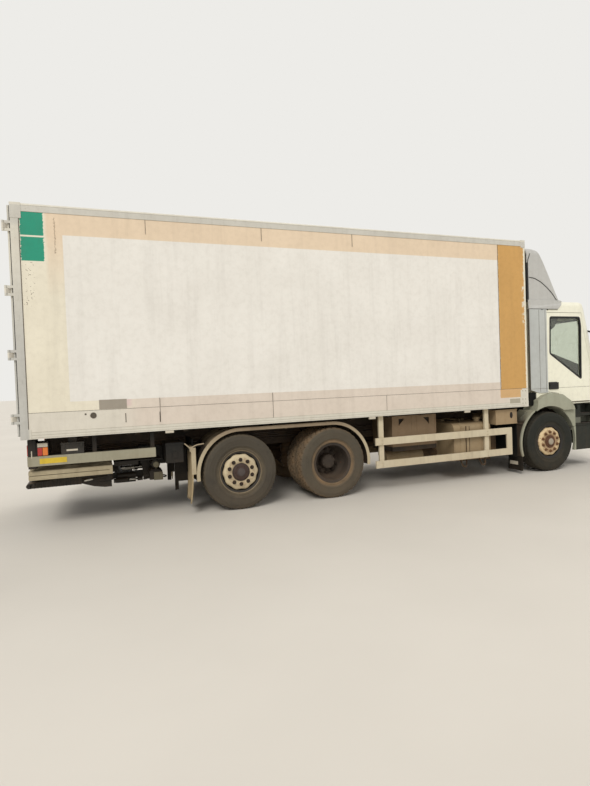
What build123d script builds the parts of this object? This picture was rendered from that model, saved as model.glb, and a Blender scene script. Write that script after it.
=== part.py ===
from build123d import *
import math
import os

# Three-axle rigid truck with an insulated box, a nose-mounted cooling unit, a tilting day cab
# and a tail lift that slides away under the tail. Millimetres, +X forward, +Y left, +Z up.
# Every x below is measured forward from the front axle and every z up from the ground.
# Each node is moved forward by front_axle_ahead when it is written, so that the origin lies
# on the ground at the middle of the truck's length.

# Driving dimensions: axles and wheels
front_axle_ahead = 3485
wheelbase = 4200
tag_spacing = 1400
tyre_radius = 522
tyre_width = 295
tyre_outer_y = 1250
twin_spacing = 330
rim_radius = 286
kingpin_y = 940
pin_radius = 22
pin_play = 0.3
free_gap = 5

# Driving dimensions: frame
rail_bottom_z = 780
rail_height = 270
rail_outer_y = 430
rail_flange = 80
rail_wall = 12
rail_front_x = 1200
rail_rear_x = -8100

# Driving dimensions: insulated box
box_front_x = -536
box_length = 7664
box_width = 2600
box_bottom_z = 1170
box_top_z = 3985
wall_thickness = 60
floor_thickness = 120
roof_thickness = 80
rear_frame_depth = 90
sill_height = 80
top_rail_height = 100
kick_top_z = 1480
kick_proud = 3
door_proud = 28
door_plug = 40
door_gap = 10
door_edge_y = 1270
hinge_setback = 50

# Driving dimensions: cab
cab_half_width = 1150
cab_back_x = -200
cab_front_x = 1360
cab_wall = 60
cab_roof_z = 3000
cab_floor_top_z = 1290
cab_floor_thickness = 50
cab_corner_radius = 230
cab_top_radius = 90
tilt_x = 1150
tilt_z = 800
door_rear_x = 64
door_front_x = 1080
door_bottom_z = 1172
door_swing = 70
cab_door_gap = 7
screen_thickness = 8

# Driving dimensions: front wheel arches, bumper and steps
arch_radius = 625
bumper_half_width = 1200
bumper_front_x = 1390
bumper_bottom_z = 320
bumper_top_z = 1045
bumper_wall = 50
step_top_z = 1130
step_split_z = 1050

# Driving dimensions: tail lift
platform_rear_x = -8240
platform_front_x = -7270
platform_half_width = 1150
platform_bottom_z = 650
platform_top_z = 760
arm_pivot_x = -6750
arm_pivot_z = 500
arm_length = 550
arm_y = 400
arm_thickness = 60
slide_bar_y = 500
slide_bar_z = 845

# Places that follow from the sizes above
drive_x = -wheelbase
tag_x = drive_x - tag_spacing
wheel_y = tyre_outer_y - tyre_width / 2
rail_top_z = rail_bottom_z + rail_height
rail_inner_y = rail_outer_y - rail_flange
box_rear_x = box_front_x - box_length
frame_rear_x = box_rear_x - rear_frame_depth
box_half = box_width / 2
inner_half = box_half - wall_thickness
floor_top_z = box_bottom_z + floor_thickness
roof_bottom_z = box_top_z - roof_thickness
wall_bottom_z = box_bottom_z + sill_height
wall_top_z = box_top_z - top_rail_height
door_outer_x = frame_rear_x - door_proud
hinge_x = door_outer_x - hinge_setback
cab_under_z = cab_floor_top_z - cab_floor_thickness
door_top_z = cab_roof_z - 200


def block(x0, x1, y0, y1, z0, z1):
    """A box between two corners."""
    centre = Pos((x0 + x1) / 2, (y0 + y1) / 2, (z0 + z1) / 2)
    return centre * Box(abs(x1 - x0), abs(y1 - y0), abs(z1 - z0))


def side_plate(points, y0, y1):
    """An outline of (x, z) points, solid from y0 to y1."""
    outline = make_face(Polyline([(x, y0, z) for x, z in points], close=True))
    return extrude(outline, amount=y1 - y0, dir=(0, 1, 0))


def plan_plate(points, z0, z1):
    """An outline of (x, y) points, solid from z0 to z1."""
    outline = make_face(Polyline([(x, y, z0) for x, y in points], close=True))
    return extrude(outline, amount=z1 - z0, dir=(0, 0, 1))


def end_plate(points, x0, x1):
    """An outline of (y, z) points, solid from x0 to x1."""
    outline = make_face(Polyline([(x0, y, z) for y, z in points], close=True))
    return extrude(outline, amount=x1 - x0, dir=(1, 0, 0))


def rod_x(x0, x1, y, z, radius):
    """A round bar along X."""
    return Pos((x0 + x1) / 2, y, z) * Rot(0, 90, 0) * Cylinder(radius, abs(x1 - x0))


def rod_y(x, y0, y1, z, radius):
    """A round bar along Y."""
    return Pos(x, (y0 + y1) / 2, z) * Rot(90, 0, 0) * Cylinder(radius, abs(y1 - y0))


def rod_z(x, y, z0, z1, radius):
    """A round bar along Z."""
    return Pos(x, y, (z0 + z1) / 2) * Cylinder(radius, abs(z1 - z0))


def bar(start, end, radius):
    """A round bar between two points."""
    run = Vector(*end) - Vector(*start)
    plane = Plane(origin=start, z_dir=run)
    return extrude(plane * Circle(radius), amount=run.length)


def turned(points, x, z):
    """A profile of (radius, y) points turned about the axle line at x, z."""
    outline = make_face(Polyline([(r, y, 0) for r, y in points], close=True))
    return Pos(x, 0, z) * revolve(outline, Axis.Y)


def other_side(shape):
    """The same shape on the left side."""
    return mirror(shape, Plane.XZ)


def both_sides(shape):
    """A right-hand shape together with its left-hand twin."""
    return Compound([*shape.solids(), *other_side(shape).solids()])


def save(name, *shapes):
    """One STEP file, moved so that the origin is at the middle of the truck."""
    solids = [solid for shape in shapes for solid in shape.solids()]
    node = solids[0] if len(solids) == 1 else Compound(solids)
    export_step(Pos(front_axle_ahead, 0, 0) * node, f"parts/{name}.step")


os.makedirs("parts", exist_ok=True)


# Frame: two channel rails, cross members, tilt pins at the front and the cab's rear rest
def channel(y_outer, y_inner):
    """The section of one rail as (y, z) points."""
    step = math.copysign(rail_wall, y_outer)
    return [
        (y_outer, rail_bottom_z), (y_outer, rail_top_z), (y_inner, rail_top_z),
        (y_inner, rail_top_z - rail_wall), (y_outer - step, rail_top_z - rail_wall),
        (y_outer - step, rail_bottom_z + rail_wall), (y_inner, rail_bottom_z + rail_wall),
        (y_inner, rail_bottom_z),
    ]


cross_member_x = [-1350, -2300, -3300, -4900, -6250, -7950]
cross_member_width = 80
cross_bottom_z = rail_bottom_z + 60
cross_top_z = rail_top_z - 60
tilt_pin_radius = 30
tilt_pin_end_y = 600
rest_x = cab_back_x + 70
rest_width = 80
rest_half = 520

frame = end_plate(channel(rail_outer_y, rail_inner_y), rail_rear_x, rail_front_x)
frame += end_plate(channel(-rail_outer_y, -rail_inner_y), rail_rear_x, rail_front_x)
web_y = rail_outer_y - rail_wall / 2
for x in cross_member_x:
    half = cross_member_width / 2
    frame += block(x - half, x + half, -web_y, web_y, cross_bottom_z, cross_top_z)
frame += block(rail_front_x - rail_wall, rail_front_x, -web_y, web_y, cross_bottom_z, cross_top_z)
for side in (-1, 1):
    frame += rod_y(tilt_x, side * web_y, side * tilt_pin_end_y, tilt_z, tilt_pin_radius)
    frame += block(rest_x, rest_x + rest_width, side * rail_inner_y, side * rail_outer_y,
                   rail_top_z, cab_under_z - rest_width / 2)
frame += block(rest_x, rest_x + rest_width, -rest_half, rest_half,
               cab_under_z - rest_width / 2, cab_under_z - pin_play)
save("frame_rails", frame)


# Driveline: engine as one plain block, gearbox, radiator and propeller shaft
engine_back_x = -350
gearbox_back_x = -1150
shaft_radius = 55
pinion_x = drive_x + 300
shaft_front_z = 720
hub_z = tyre_radius

driveline = block(engine_back_x, 1000, -335, 335, 600, 1150)
driveline += block(gearbox_back_x, engine_back_x, -230, 230, 620, 1000)
driveline += block(1000, 1080, -150, 150, 800, 1000)
driveline += block(1080, 1170, -340, 340, 620, 1130)
driveline += block(250, 350, -web_y + rail_wall / 2 + pin_play, web_y - rail_wall / 2 - pin_play,
                   850, 920)
driveline += bar((gearbox_back_x + 50, 0, shaft_front_z), (pinion_x + 40, 0, hub_z + 8), shaft_radius)
driveline += rod_x(pinion_x, pinion_x + 60, 0, hub_z, 90)
save("driveline", driveline)


# Axles with their springs: front leaf springs, rear trailing arms and air bags
spring_y0 = 345
spring_y1 = 425
beam_half = 50
spring_seat_z = 600
spring_reach = 800
spring_eye_z = 715
leaf_stack = 45
eye_radius = 55


def leaf_spring(seat_z, reach, eye_z, stack):
    """A leaf spring as a bow of even thickness, as an (x, z) outline."""
    lower = ThreePointArc((-reach, 0, eye_z), (0, 0, seat_z), (reach, 0, eye_z))
    upper = ThreePointArc((reach, 0, eye_z + stack), (0, 0, seat_z + stack), (-reach, 0, eye_z + stack))
    ends = [Line((reach, 0, eye_z), (reach, 0, eye_z + stack)),
            Line((-reach, 0, eye_z + stack), (-reach, 0, eye_z))]
    return make_face([lower, ends[0], upper, ends[1]])


front_beam = end_plate(
    [(-875, 475), (-560, 430), (560, 430), (875, 475), (875, 575), (560, 530), (-560, 530),
     (-875, 575)], -beam_half, beam_half)
axles = front_beam
for side in (-1, 1):
    axles += rod_z(0, side * kingpin_y, 475, 585, eye_radius)
    axles += block(-beam_half, beam_half, side * 860, side * kingpin_y, 475, 575)
    axles += rod_z(0, side * kingpin_y, 400, 660, pin_radius)
    y_low = min(side * spring_y0, side * spring_y1)
    bow = extrude(Pos(0, y_low, 0) * leaf_spring(spring_seat_z, spring_reach, spring_eye_z, leaf_stack),
                  amount=spring_y1 - spring_y0, dir=(0, 1, 0))
    axles += bow
    axles += block(-60, 60, side * spring_y0, side * spring_y1, 500, spring_seat_z + 20)
    for x in (-spring_reach, spring_reach - 60):
        axles += block(x, x + 60, side * spring_y0, side * spring_y1, spring_eye_z, rail_bottom_z)
# The track rod lies just under the ends of the steering arms
arm_end_x = -220
arm_end_y = 740
arm_bottom_z = 385
track_rod_z = 350
track_rod = rod_y(arm_end_x, -arm_end_y, arm_end_y, track_rod_z, 18)
for side in (-1, 1):
    track_rod += rod_z(arm_end_x, side * arm_end_y, track_rod_z, arm_bottom_z - pin_play, 22)

spindle_radius = 45
stub_radius = 38
stub_end_y = 1215
rear_spindle_y = 985
bag_radius = 140
bag_back = 380
hanger_ahead = 560
for x, banjo in ((drive_x, True), (tag_x, False)):
    axles += block(x - 60, x + 60, -590, 590, hub_z - 60, hub_z + 60)
    for side in (-1, 1):
        axles += rod_y(x, side * 560, side * rear_spindle_y, hub_z, spindle_radius)
        if not banjo:
            axles += rod_y(x, side * 900, side * stub_end_y, hub_z, stub_radius)
        axles += block(x - bag_back - 120, x + hanger_ahead, side * 350, side * 430, 400, 462)
        axles += block(x + hanger_ahead - 100, x + hanger_ahead, side * 350, side * 430, 400,
                       rail_bottom_z)
        bag = [(0, 462), (bag_radius, 462), (bag_radius, 560), (bag_radius - 25, 600),
               (bag_radius, 640), (bag_radius, 740), (bag_radius - 40, 780), (0, 780)]
        turned_bag = revolve(make_face(Polyline([(r, 0, z) for r, z in bag], close=True)), Axis.Z)
        axles += Pos(x - bag_back, side * 390, 0) * turned_bag
    if banjo:
        axles += rod_x(x - 120, x + 150, 0, hub_z, 205)
        nose = Plane(origin=(x + 150, 0, hub_z), z_dir=(1, 0, 0))
        axles += loft([nose * Circle(150), nose.offset(150) * Circle(80)])
save("axles", axles, track_rod)


# Tanks: fuel tank with straps and an air tank on each side
tank_x0 = -1990
tank_x1 = -1250
tank_y0 = 560
tank_y1 = 1170
tank_z0 = 330
tank_z1 = 950
tank_corner = 90
strap_width = 60
strap_proud = 6
air_tank_radius = 125


def rounded_tank(x0, x1, grow):
    """The tank's rounded section, made solid along X."""
    width = tank_y1 - tank_y0 + 2 * grow
    height = tank_z1 - tank_z0 + 2 * grow
    plane = Plane(origin=(x0, -(tank_y0 + tank_y1) / 2, (tank_z0 + tank_z1) / 2), x_dir=(0, 1, 0),
                  z_dir=(1, 0, 0))
    return extrude(plane * RectangleRounded(width, height, tank_corner + grow), amount=x1 - x0)


tank = rounded_tank(tank_x0, tank_x1, 0)
for share in (0.22, 0.78):
    x = tank_x0 + share * (tank_x1 - tank_x0)
    tank += rounded_tank(x - strap_width / 2, x + strap_width / 2, strap_proud)
    tank += side_plate([(x - 30, 820), (x + 30, 820), (x + 30, 980), (x - 30, 980)],
                       -tank_y0 - 100, -rail_outer_y)
tank += rod_z(tank_x1 - 160, -tank_y1 + 150, tank_z1 - 10, tank_z1 + 45, 50)
air_tank = rod_x(-3050, -2350, -700, 430, air_tank_radius)
air_tank += block(-2960, -2900, -760, -640, 540, 580)
air_tank += block(-2500, -2440, -760, -640, 540, 580)
save("tanks", both_sides(tank), both_sides(air_tank))


# Side boxes: battery box, standby power box and the lift's control box
battery_box = (-3100, -2290, -1100, -470, 580, 1130)
handle_depth = 30
battery = block(*battery_box)
for x, reach in ((-2980, 110), (-2410, -110)):
    recess = [(x, 1090), (x + reach, 1090), (x, 980)]
    battery -= side_plate(recess, -1100, -1100 + handle_depth)
for x in (-2950, -2440):
    battery += block(x - 30, x + 30, -480, -rail_outer_y, 820, 980)
power_box = block(-1170, -720, -1220, -900, 890, 1130)
power_box -= block(-1100, -850, -1220, -1195, 1010, 1060)
power_box += block(-1000, -900, -910, -rail_outer_y, 960, 1040)
control_box = block(-7860, -7600, -1215, -1040, 950, 1090)
control_box += block(-7780, -7680, -1180, -1080, 1085, box_bottom_z)
save("side_boxes", both_sides(battery), both_sides(power_box), control_box)


# Side guards: two flat rails a side, closed at the front, on posts under the box
guard_y0 = -1250
guard_y1 = -1225
guard_rails = [(720, 830), (370, 480)]
guard_front_x = -860
guard_rear_x = -3480
guard_posts_x = [-1410, -3410]
post_width = 80
guard = block(guard_front_x - 110, guard_front_x, guard_y0, guard_y1, 370, 830)
for z0, z1 in guard_rails:
    guard += block(guard_rear_x, guard_front_x, guard_y0, guard_y1, z0, z1)
for x in guard_posts_x:
    guard += block(x, x + post_width, guard_y1 - 1, guard_y1 + 35, 370, box_bottom_z)
save("side_guards", both_sides(guard))


# Mudguards: one sheet over both rear axles a side and the fixed rear half at the front wheels
guard_radius = 605
sheet = 12
guard_inner_y = 600
front_guard_radius = 667
front_guard_top_x = -354
front_guard_end_z = 310


def arch(radius, y0, y1):
    """The space under a sheet that runs over both rear axles."""
    space = rod_y(tag_x, y0, y1, hub_z, radius) + rod_y(drive_x, y0, y1, hub_z, radius)
    return space + block(tag_x, drive_x, y0, y1, hub_z, hub_z + radius)


rear_guard = arch(guard_radius, -tyre_outer_y, -guard_inner_y)
rear_guard -= arch(guard_radius - sheet, -tyre_outer_y - 1, -guard_inner_y + 1)
rear_guard -= block(tag_x - 700, drive_x + 700, -1300, -500, -200, 450)
rear_guard -= block(tag_x, drive_x, -1300, -500, -200, hub_z)
middle_x = (tag_x + drive_x) / 2
rear_guard += rod_y(middle_x, -1200, -rail_outer_y, hub_z + guard_radius - 30, 22)
flap_bar_x = tag_x - 675
rear_guard += rod_y(flap_bar_x, -tyre_outer_y, -rail_outer_y, 900, 16)
rear_guard += block(flap_bar_x, tag_x - 410, -960, -930, 885, 915)

front_guard = rod_y(0, -tyre_outer_y, -900, hub_z, front_guard_radius)
front_guard -= rod_y(0, -tyre_outer_y - 1, -899, hub_z, front_guard_radius - sheet)
front_guard &= block(-900, front_guard_top_x, -1300, -800, front_guard_end_z, 1200)
front_guard += rod_y(-575, -1200, -rail_outer_y, 850, 20)
save("mudguards", both_sides(rear_guard), both_sides(front_guard))

# Mud flaps: rubber sheets behind the tag wheels and the front wheels
flap_x = flap_bar_x - 16
rear_flap = block(flap_x - sheet, flap_x, -tyre_outer_y, -640, 140, 930)
end_x = -math.sqrt(front_guard_radius ** 2 - (hub_z - front_guard_end_z) ** 2)
front_flap = block(end_x, end_x + 10, -tyre_outer_y, -905, 60, front_guard_end_z)
save("mud_flaps", both_sides(rear_flap), both_sides(front_flap))


# Front bumper: one moulded shell, low beside the steps, round the nose, with lamp pockets
lamp_y0 = 700
lamp_y1 = 1040
lamp_z0 = 600
lamp_z1 = 840


def nose_plan(inset, back_x):
    """The bumper's plan outline with rounded front corners, as a face at z = 0."""
    half = bumper_half_width - inset
    front = bumper_front_x - inset
    radius = 200 - inset
    outline = FilletPolyline((back_x, -half, 0), (front, -half, 0), (front, half, 0),
                             (back_x, half, 0), radius=radius)
    return make_face([outline, Line((back_x, half, 0), (back_x, -half, 0))])


bumper_back_x = 600
bumper_high_x = 1125
outer = extrude(Pos(0, 0, bumper_bottom_z) * nose_plan(0, bumper_back_x),
                amount=bumper_top_z - bumper_bottom_z, dir=(0, 0, 1))
inner = extrude(Pos(0, 0, bumper_bottom_z - 1) * nose_plan(bumper_wall, bumper_back_x - 1),
                amount=bumper_top_z - bumper_bottom_z + 2, dir=(0, 0, 1))
bumper = outer - inner
bumper -= block(bumper_back_x - 1, bumper_high_x, -1300, 1300, 745, bumper_top_z + 1)
bumper -= rod_y(0, -1300, 1300, hub_z, arch_radius)
bumper -= block(bumper_front_x - 100, bumper_front_x + 1, -420, 420, 420, 560)
for side in (-1, 1):
    bumper -= block(bumper_front_x - 300, bumper_front_x + 1, side * lamp_y0, side * lamp_y1,
                    lamp_z0, lamp_z1)
    bumper += block(rail_front_x, bumper_front_x - bumper_wall + 1, side * 355, side * 425, 840, 980)
for z in (440, 485, 530):
    bumper += block(bumper_front_x - 40, bumper_front_x - 15, -425, 425, z, z + 15)
tow_x = bumper_front_x - 95
tow_bore = 40
tow_z = 630
bumper += block(rail_front_x, bumper_front_x - bumper_wall + 1, -60, 60, tow_z - 30, tow_z + 30)
bumper += block(rail_front_x, rail_front_x + 25, -60, 60, tow_z - 30, cross_top_z)
bumper -= rod_z(tow_x, 0, tow_z - 40, tow_z + 40, tow_bore / 2)
save("front_bumper", bumper)

# Entry steps: a moulding a side from the wheel arch to the bumper, with foot recesses
step_y0 = -1195
step_y1 = -985
steps = side_plate([(330, 745 + free_gap), (bumper_high_x - free_gap, 745 + free_gap),
                    (bumper_high_x - free_gap, step_top_z), (700, step_top_z),
                    (700, step_split_z), (330, step_split_z)], step_y0, step_y1)
steps -= rod_y(0, -1300, -800, hub_z, arch_radius)
steps -= block(770, 1090, step_y0 - 1, step_y1 - 30, 970, step_top_z + 1)
steps -= block(770, 1090, step_y0 - 1, step_y1 - 60, 790, 930)
steps += block(800, 860, step_y1 - 1, -rail_outer_y, 880, 960)
save("entry_steps", both_sides(steps))

# Lamps: headlamps in the bumper's pockets and the rear lamp clusters
beam_x0 = -8240
beam_x1 = -8130
beam_z0 = 830
beam_z1 = 950
head_lamp = block(bumper_front_x - 130, bumper_front_x - 12, -lamp_y1, -lamp_y0, lamp_z0, lamp_z1)
head_lamp &= extrude(Pos(0, 0, lamp_z0) * nose_plan(8, bumper_back_x), amount=lamp_z1 - lamp_z0,
                     dir=(0, 0, 1))
rear_lamp = block(beam_x0, beam_x1 + 30, -1215, -930, beam_z1, beam_z1 + 150)
save("lamps", both_sides(head_lamp), both_sides(rear_lamp))

# Light beam: the cross beam under the tail and the rail along each side ahead of it
side_rail_front_x = -6730
light_beam = block(beam_x0, beam_x1, -1215, 1215, beam_z0, beam_z1)
for side in (-1, 1):
    light_beam += block(beam_x1 - 1, side_rail_front_x, side * 1175, side * 1215, beam_z0, beam_z1)
    for x in (-7500, side_rail_front_x - 60):
        light_beam += block(x, x + 50, side * 1110, side * 1180, beam_z0 + 20, box_bottom_z)
    light_beam += block(beam_x0 + 20, beam_x1 - 20, side * 830, side * 900, beam_z1 - 1, box_bottom_z)
save("light_beam", light_beam)


# Box bearers: two long sills on the frame and shallow cross bearers under the floor
bearer_depth = 35
bearer_x = [-700 - step * 625 for step in range(12)]
bearers = None
for side in (-1, 1):
    sill = block(rail_rear_x, box_front_x, side * rail_inner_y, side * rail_outer_y, rail_top_z,
                 box_bottom_z)
    bearers = sill if bearers is None else bearers + sill
for x in bearer_x:
    bearers += block(x - 30, x + 30, -1180, 1180, box_bottom_z - bearer_depth, box_bottom_z)
save("box_bearers", bearers)

# Insulated box: floor, side walls with a raised kick panel, front wall and roof
box_floor = block(box_rear_x, box_front_x - wall_thickness, -inner_half, inner_half,
                  box_bottom_z, floor_top_z)
save("box_floor", box_floor)

wall_section = [(-inner_half, wall_bottom_z), (-box_half, wall_bottom_z), (-box_half, kick_top_z),
                (-box_half + kick_proud, kick_top_z + kick_proud),
                (-box_half + kick_proud, wall_top_z), (-inner_half, wall_top_z)]
side_wall = end_plate(wall_section, box_rear_x, box_front_x)
save("box_side_walls", both_sides(side_wall))

front_wall = block(box_front_x - wall_thickness, box_front_x, -inner_half, inner_half,
                   box_bottom_z, roof_bottom_z)
save("box_front_wall", front_wall)

roof = block(box_rear_x, box_front_x, -inner_half, inner_half, roof_bottom_z, box_top_z)
save("box_roof", roof)

# Edge rails: metal sections along the bottom and top edges of the side walls
rail_radius = 25
bottom_rail = block(box_rear_x, box_front_x, -box_half, -inner_half, box_bottom_z, wall_bottom_z)
top_rail = block(box_rear_x, box_front_x, -box_half, -inner_half, wall_top_z, box_top_z)
top_rail = fillet(top_rail.edges().filter_by(Axis.X).sort_by(lambda e: e.center().Z - e.center().Y)[-1],
                  rail_radius)
save("box_edge_rails", both_sides(bottom_rail), both_sides(top_rail))

# Rear frame: a portal round the door opening with the fixed hinge lugs
leaf_bottom_z = box_bottom_z + 42
leaf_top_z = box_top_z - 35
leaf_height = leaf_top_z - leaf_bottom_z
hinge_zs = [leaf_bottom_z + share * leaf_height for share in (0.076, 0.354, 0.632, 0.91)]
lug_height = 30
barrel_height = 60
barrel_radius = 14
hinge_pin_radius = 7
rear_frame = block(frame_rear_x, box_rear_x, -box_half, box_half, box_bottom_z, box_top_z)
rear_frame -= block(frame_rear_x - 1, box_rear_x + 1, -inner_half, inner_half, floor_top_z,
                    roof_bottom_z)
for side in (-1, 1):
    for z in hinge_zs:
        for z0 in (z - barrel_height / 2 - lug_height - 1, z + barrel_height / 2 + 1):
            lug = rod_z(hinge_x, side * box_half, z0, z0 + lug_height, barrel_radius)
            lug += block(hinge_x, frame_rear_x + 1, side * (box_half - barrel_radius), side * box_half,
                         z0, z0 + lug_height)
            rear_frame += lug
        rear_frame += rod_z(hinge_x, side * box_half, z - barrel_height / 2 - lug_height,
                            z + barrel_height / 2 + lug_height, hinge_pin_radius)
save("rear_frame", rear_frame)

# Rear doors: leaf with an insulated plug, strap hinges and lock rods
leaf_centre_y = 8
guide_shares = [0.032, 0.25, 0.525, 0.8, 0.967]
handle_z = leaf_bottom_z + 790
rod_radius = 13
rod_stand_off = 20
rod_ys = [330, 900]
strap_reach = 170
strap_thickness = 10


def rear_door():
    """The right-hand door leaf with its hinge straps."""
    leaf = block(door_outer_x, frame_rear_x - free_gap, -door_edge_y, -leaf_centre_y, leaf_bottom_z,
                 leaf_top_z)
    leaf += block(frame_rear_x - free_gap - 1, frame_rear_x + door_plug, -inner_half + door_gap,
                  -leaf_centre_y - 8, floor_top_z + door_gap, roof_bottom_z - door_gap)
    for z in hinge_zs:
        z0 = z - barrel_height / 2
        z1 = z + barrel_height / 2
        strap = plan_plate([(door_outer_x + 1, -door_edge_y + strap_reach),
                            (door_outer_x - strap_thickness, -door_edge_y + strap_reach),
                            (door_outer_x - strap_thickness, -door_edge_y + 30),
                            (hinge_x - 8, -box_half + 10), (hinge_x + 8, -box_half - 12),
                            (door_outer_x + 1, -door_edge_y + 2)], z0, z1)
        strap += rod_z(hinge_x, -box_half, z0, z1, barrel_radius)
        strap -= rod_z(hinge_x, -box_half, z0 - 1, z1 + 1, hinge_pin_radius + pin_play)
        leaf += strap
    return leaf


def lock_rods():
    """The right-hand door's two lock rods in their guides, with a handle each."""
    rod_x_place = door_outer_x - rod_stand_off
    rods = []
    for y in rod_ys:
        rod = rod_z(rod_x_place, -y, leaf_bottom_z + 10, leaf_top_z - 10, rod_radius)
        for share in guide_shares:
            z = leaf_bottom_z + share * leaf_height
            rod += block(door_outer_x - rod_stand_off - 14, door_outer_x, -y - 28, -y + 28, z - 25,
                         z + 25)
        rod += block(door_outer_x - 36, door_outer_x - 16, -y, -y + 260, handle_z - 15,
                     handle_z + 15)
        rods.append(rod)
    return Compound(rods)


save("rear_door_right", rear_door())
save("rear_door_left", other_side(rear_door()))
save("lock_rods_right", lock_rods())
save("lock_rods_left", other_side(lock_rods()))

# Cooling unit on the front wall, over the cab
unit_x1 = -120
unit_half = 950
unit_z0 = cab_roof_z + 110
unit_z1 = box_top_z - 185
slat_count = 6
unit = block(box_front_x, unit_x1, -unit_half, unit_half, unit_z0, unit_z1)
unit = fillet(unit.edges().filter_by(Axis.Z).group_by(Axis.X)[-1], 80)
unit -= block(unit_x1 - 60, unit_x1 + 1, -700, 700, unit_z0 + 220, unit_z1 - 80)
slat_pitch = (unit_z1 - unit_z0 - 330) / slat_count
for row in range(slat_count):
    z = unit_z0 + 240 + row * slat_pitch
    unit += block(unit_x1 - 55, unit_x1 - 15, -705, 705, z, z + 18)
save("fridge_unit", unit)


# Cab shell: a side outline, a plan outline that leans back with the screen, and a rounded
# front view, all inset by the same amount, give every panel and pane of glass
screen_foot_z = 1750
screen_top_z = cab_roof_z - 240
screen_foot_x = 1335
screen_top_x = 1095
roof_front_x = 880
screen_lean = (screen_foot_x - screen_top_x) / (screen_top_z - screen_foot_z)


def cab_form(inset, bottom=cab_under_z - 80):
    """The cab's solid form, drawn in from the outer skin by inset."""
    back = cab_back_x + inset
    bottom = bottom + inset
    side = side_plate([
        (back, bottom), (cab_front_x - inset, bottom), (screen_foot_x - inset, screen_foot_z),
        (screen_top_x - inset, screen_top_z), (roof_front_x - inset * 0.4, cab_roof_z - inset),
        (back, cab_roof_z - inset)], -cab_half_width, cab_half_width)
    half = cab_half_width - inset
    radius = cab_corner_radius - inset

    def plan(front):
        run = FilletPolyline((back - 500, -half, 0), (front, -half, 0), (front, half, 0),
                             (back - 500, half, 0), radius=radius)
        return make_face([run, Line((back - 500, half, 0), (back - 500, -half, 0))])

    lower = extrude(Pos(0, 0, 900) * plan(cab_front_x - inset), amount=screen_foot_z - 900,
                    dir=(0, 0, 1))
    rise = cab_roof_z + 200 - screen_foot_z
    lean = Vector(-screen_lean, 0, 1)
    upper = extrude(Pos(0, 0, screen_foot_z) * plan(cab_front_x - inset), amount=rise * lean.length,
                    dir=lean.normalized())
    top = cab_roof_z - inset
    front_view = FilletPolyline((-1000, -half, 800), (-1000, -half, top), (-1000, half, top),
                                (-1000, half, 800), radius=cab_top_radius - inset / 2)
    view = make_face([front_view, Line((-1000, half, 800), (-1000, -half, 800))])
    return side & (lower + upper) & extrude(view, amount=3000, dir=(1, 0, 0))


cab_skin = cab_form(0) - cab_form(cab_wall, cab_under_z - 200)
half_split = cab_half_width - cab_corner_radius
side_split_y = cab_half_width - cab_wall
roof_split_z = door_top_z + 90
front_split_x = door_front_x + 35

# The door opening and the door share these outlines, and the door has a wedge at its hinge edge
wedge = math.tan(math.radians(door_swing + 1))
door_outline = [(door_rear_x, 1385), (300, 1352), (500, 1235), (560, door_bottom_z),
                (door_front_x, door_bottom_z),
                (door_front_x, 1900), (930, door_top_z - 240), (900, door_top_z),
                (door_rear_x, door_top_z)]
window_outline = [(130, 2070), (150, door_top_z - 85), (845, door_top_z - 85),
                  (872, door_top_z - 240), (860, 1600)]


def door_zone(gap):
    """The space of the right-hand door, less a gap all round."""
    centre_x = (door_rear_x + door_front_x) / 2
    centre_z = (door_bottom_z + door_top_z) / 2
    points = [(x + math.copysign(gap, centre_x - x), z + math.copysign(gap, centre_z - z))
              for x, z in door_outline]
    return side_plate(points, -cab_half_width - 10, -cab_half_width + 200)


window_hole = side_plate(window_outline, -cab_half_width - 50, -cab_half_width + 250)
hinge_edge_x = door_front_x - cab_door_gap
door_plan = plan_plate([(-1000, -cab_half_width - 10), (hinge_edge_x, -cab_half_width - 10),
                        (hinge_edge_x, -cab_half_width + 1),
                        (hinge_edge_x - 200 * wedge, -cab_half_width + 201),
                        (-1000, -cab_half_width + 201)], 900, cab_roof_z + 200)
door_leaf = cab_skin & door_zone(cab_door_gap) & door_plan
door_leaf -= window_hole
handle = block(90, 290, -cab_half_width - 22, -cab_half_width + 2, 1465, 1530)
handle -= block(120, 260, -cab_half_width - 12, -cab_half_width, 1460, 1500)
door_leaf += handle
glass_y = -cab_half_width + 25
door_glass = (cab_form(22) - cab_form(22 + screen_thickness)) & window_hole
door_glass &= block(0, 1100, -cab_half_width, -cab_half_width + 100, 1500, door_top_z)
save("cab_door_right", door_leaf)
save("cab_door_left", other_side(door_leaf))
save("door_glass_right", door_glass)
save("door_glass_left", other_side(door_glass))

# Cab body panels
opening = door_zone(0)
body_skin = cab_skin - opening - other_side(opening)
rear_zone = block(cab_back_x - 1, cab_back_x + cab_wall, -side_split_y, side_split_y, 900, roof_split_z)
roof_zone = block(cab_back_x - 1, 1600, -1300, 1300, roof_split_z, cab_roof_z + 200)
front_zone = block(front_split_x, 1600, -1300, 1300, 900, roof_split_z)
side_zone = block(cab_back_x - 1, front_split_x, -1300, -side_split_y, 900, roof_split_z)

cab_side = body_skin & side_zone
save("cab_sides", both_sides(cab_side))
save("cab_rear_wall", body_skin & rear_zone)
save("cab_roof", body_skin & roof_zone)

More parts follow.
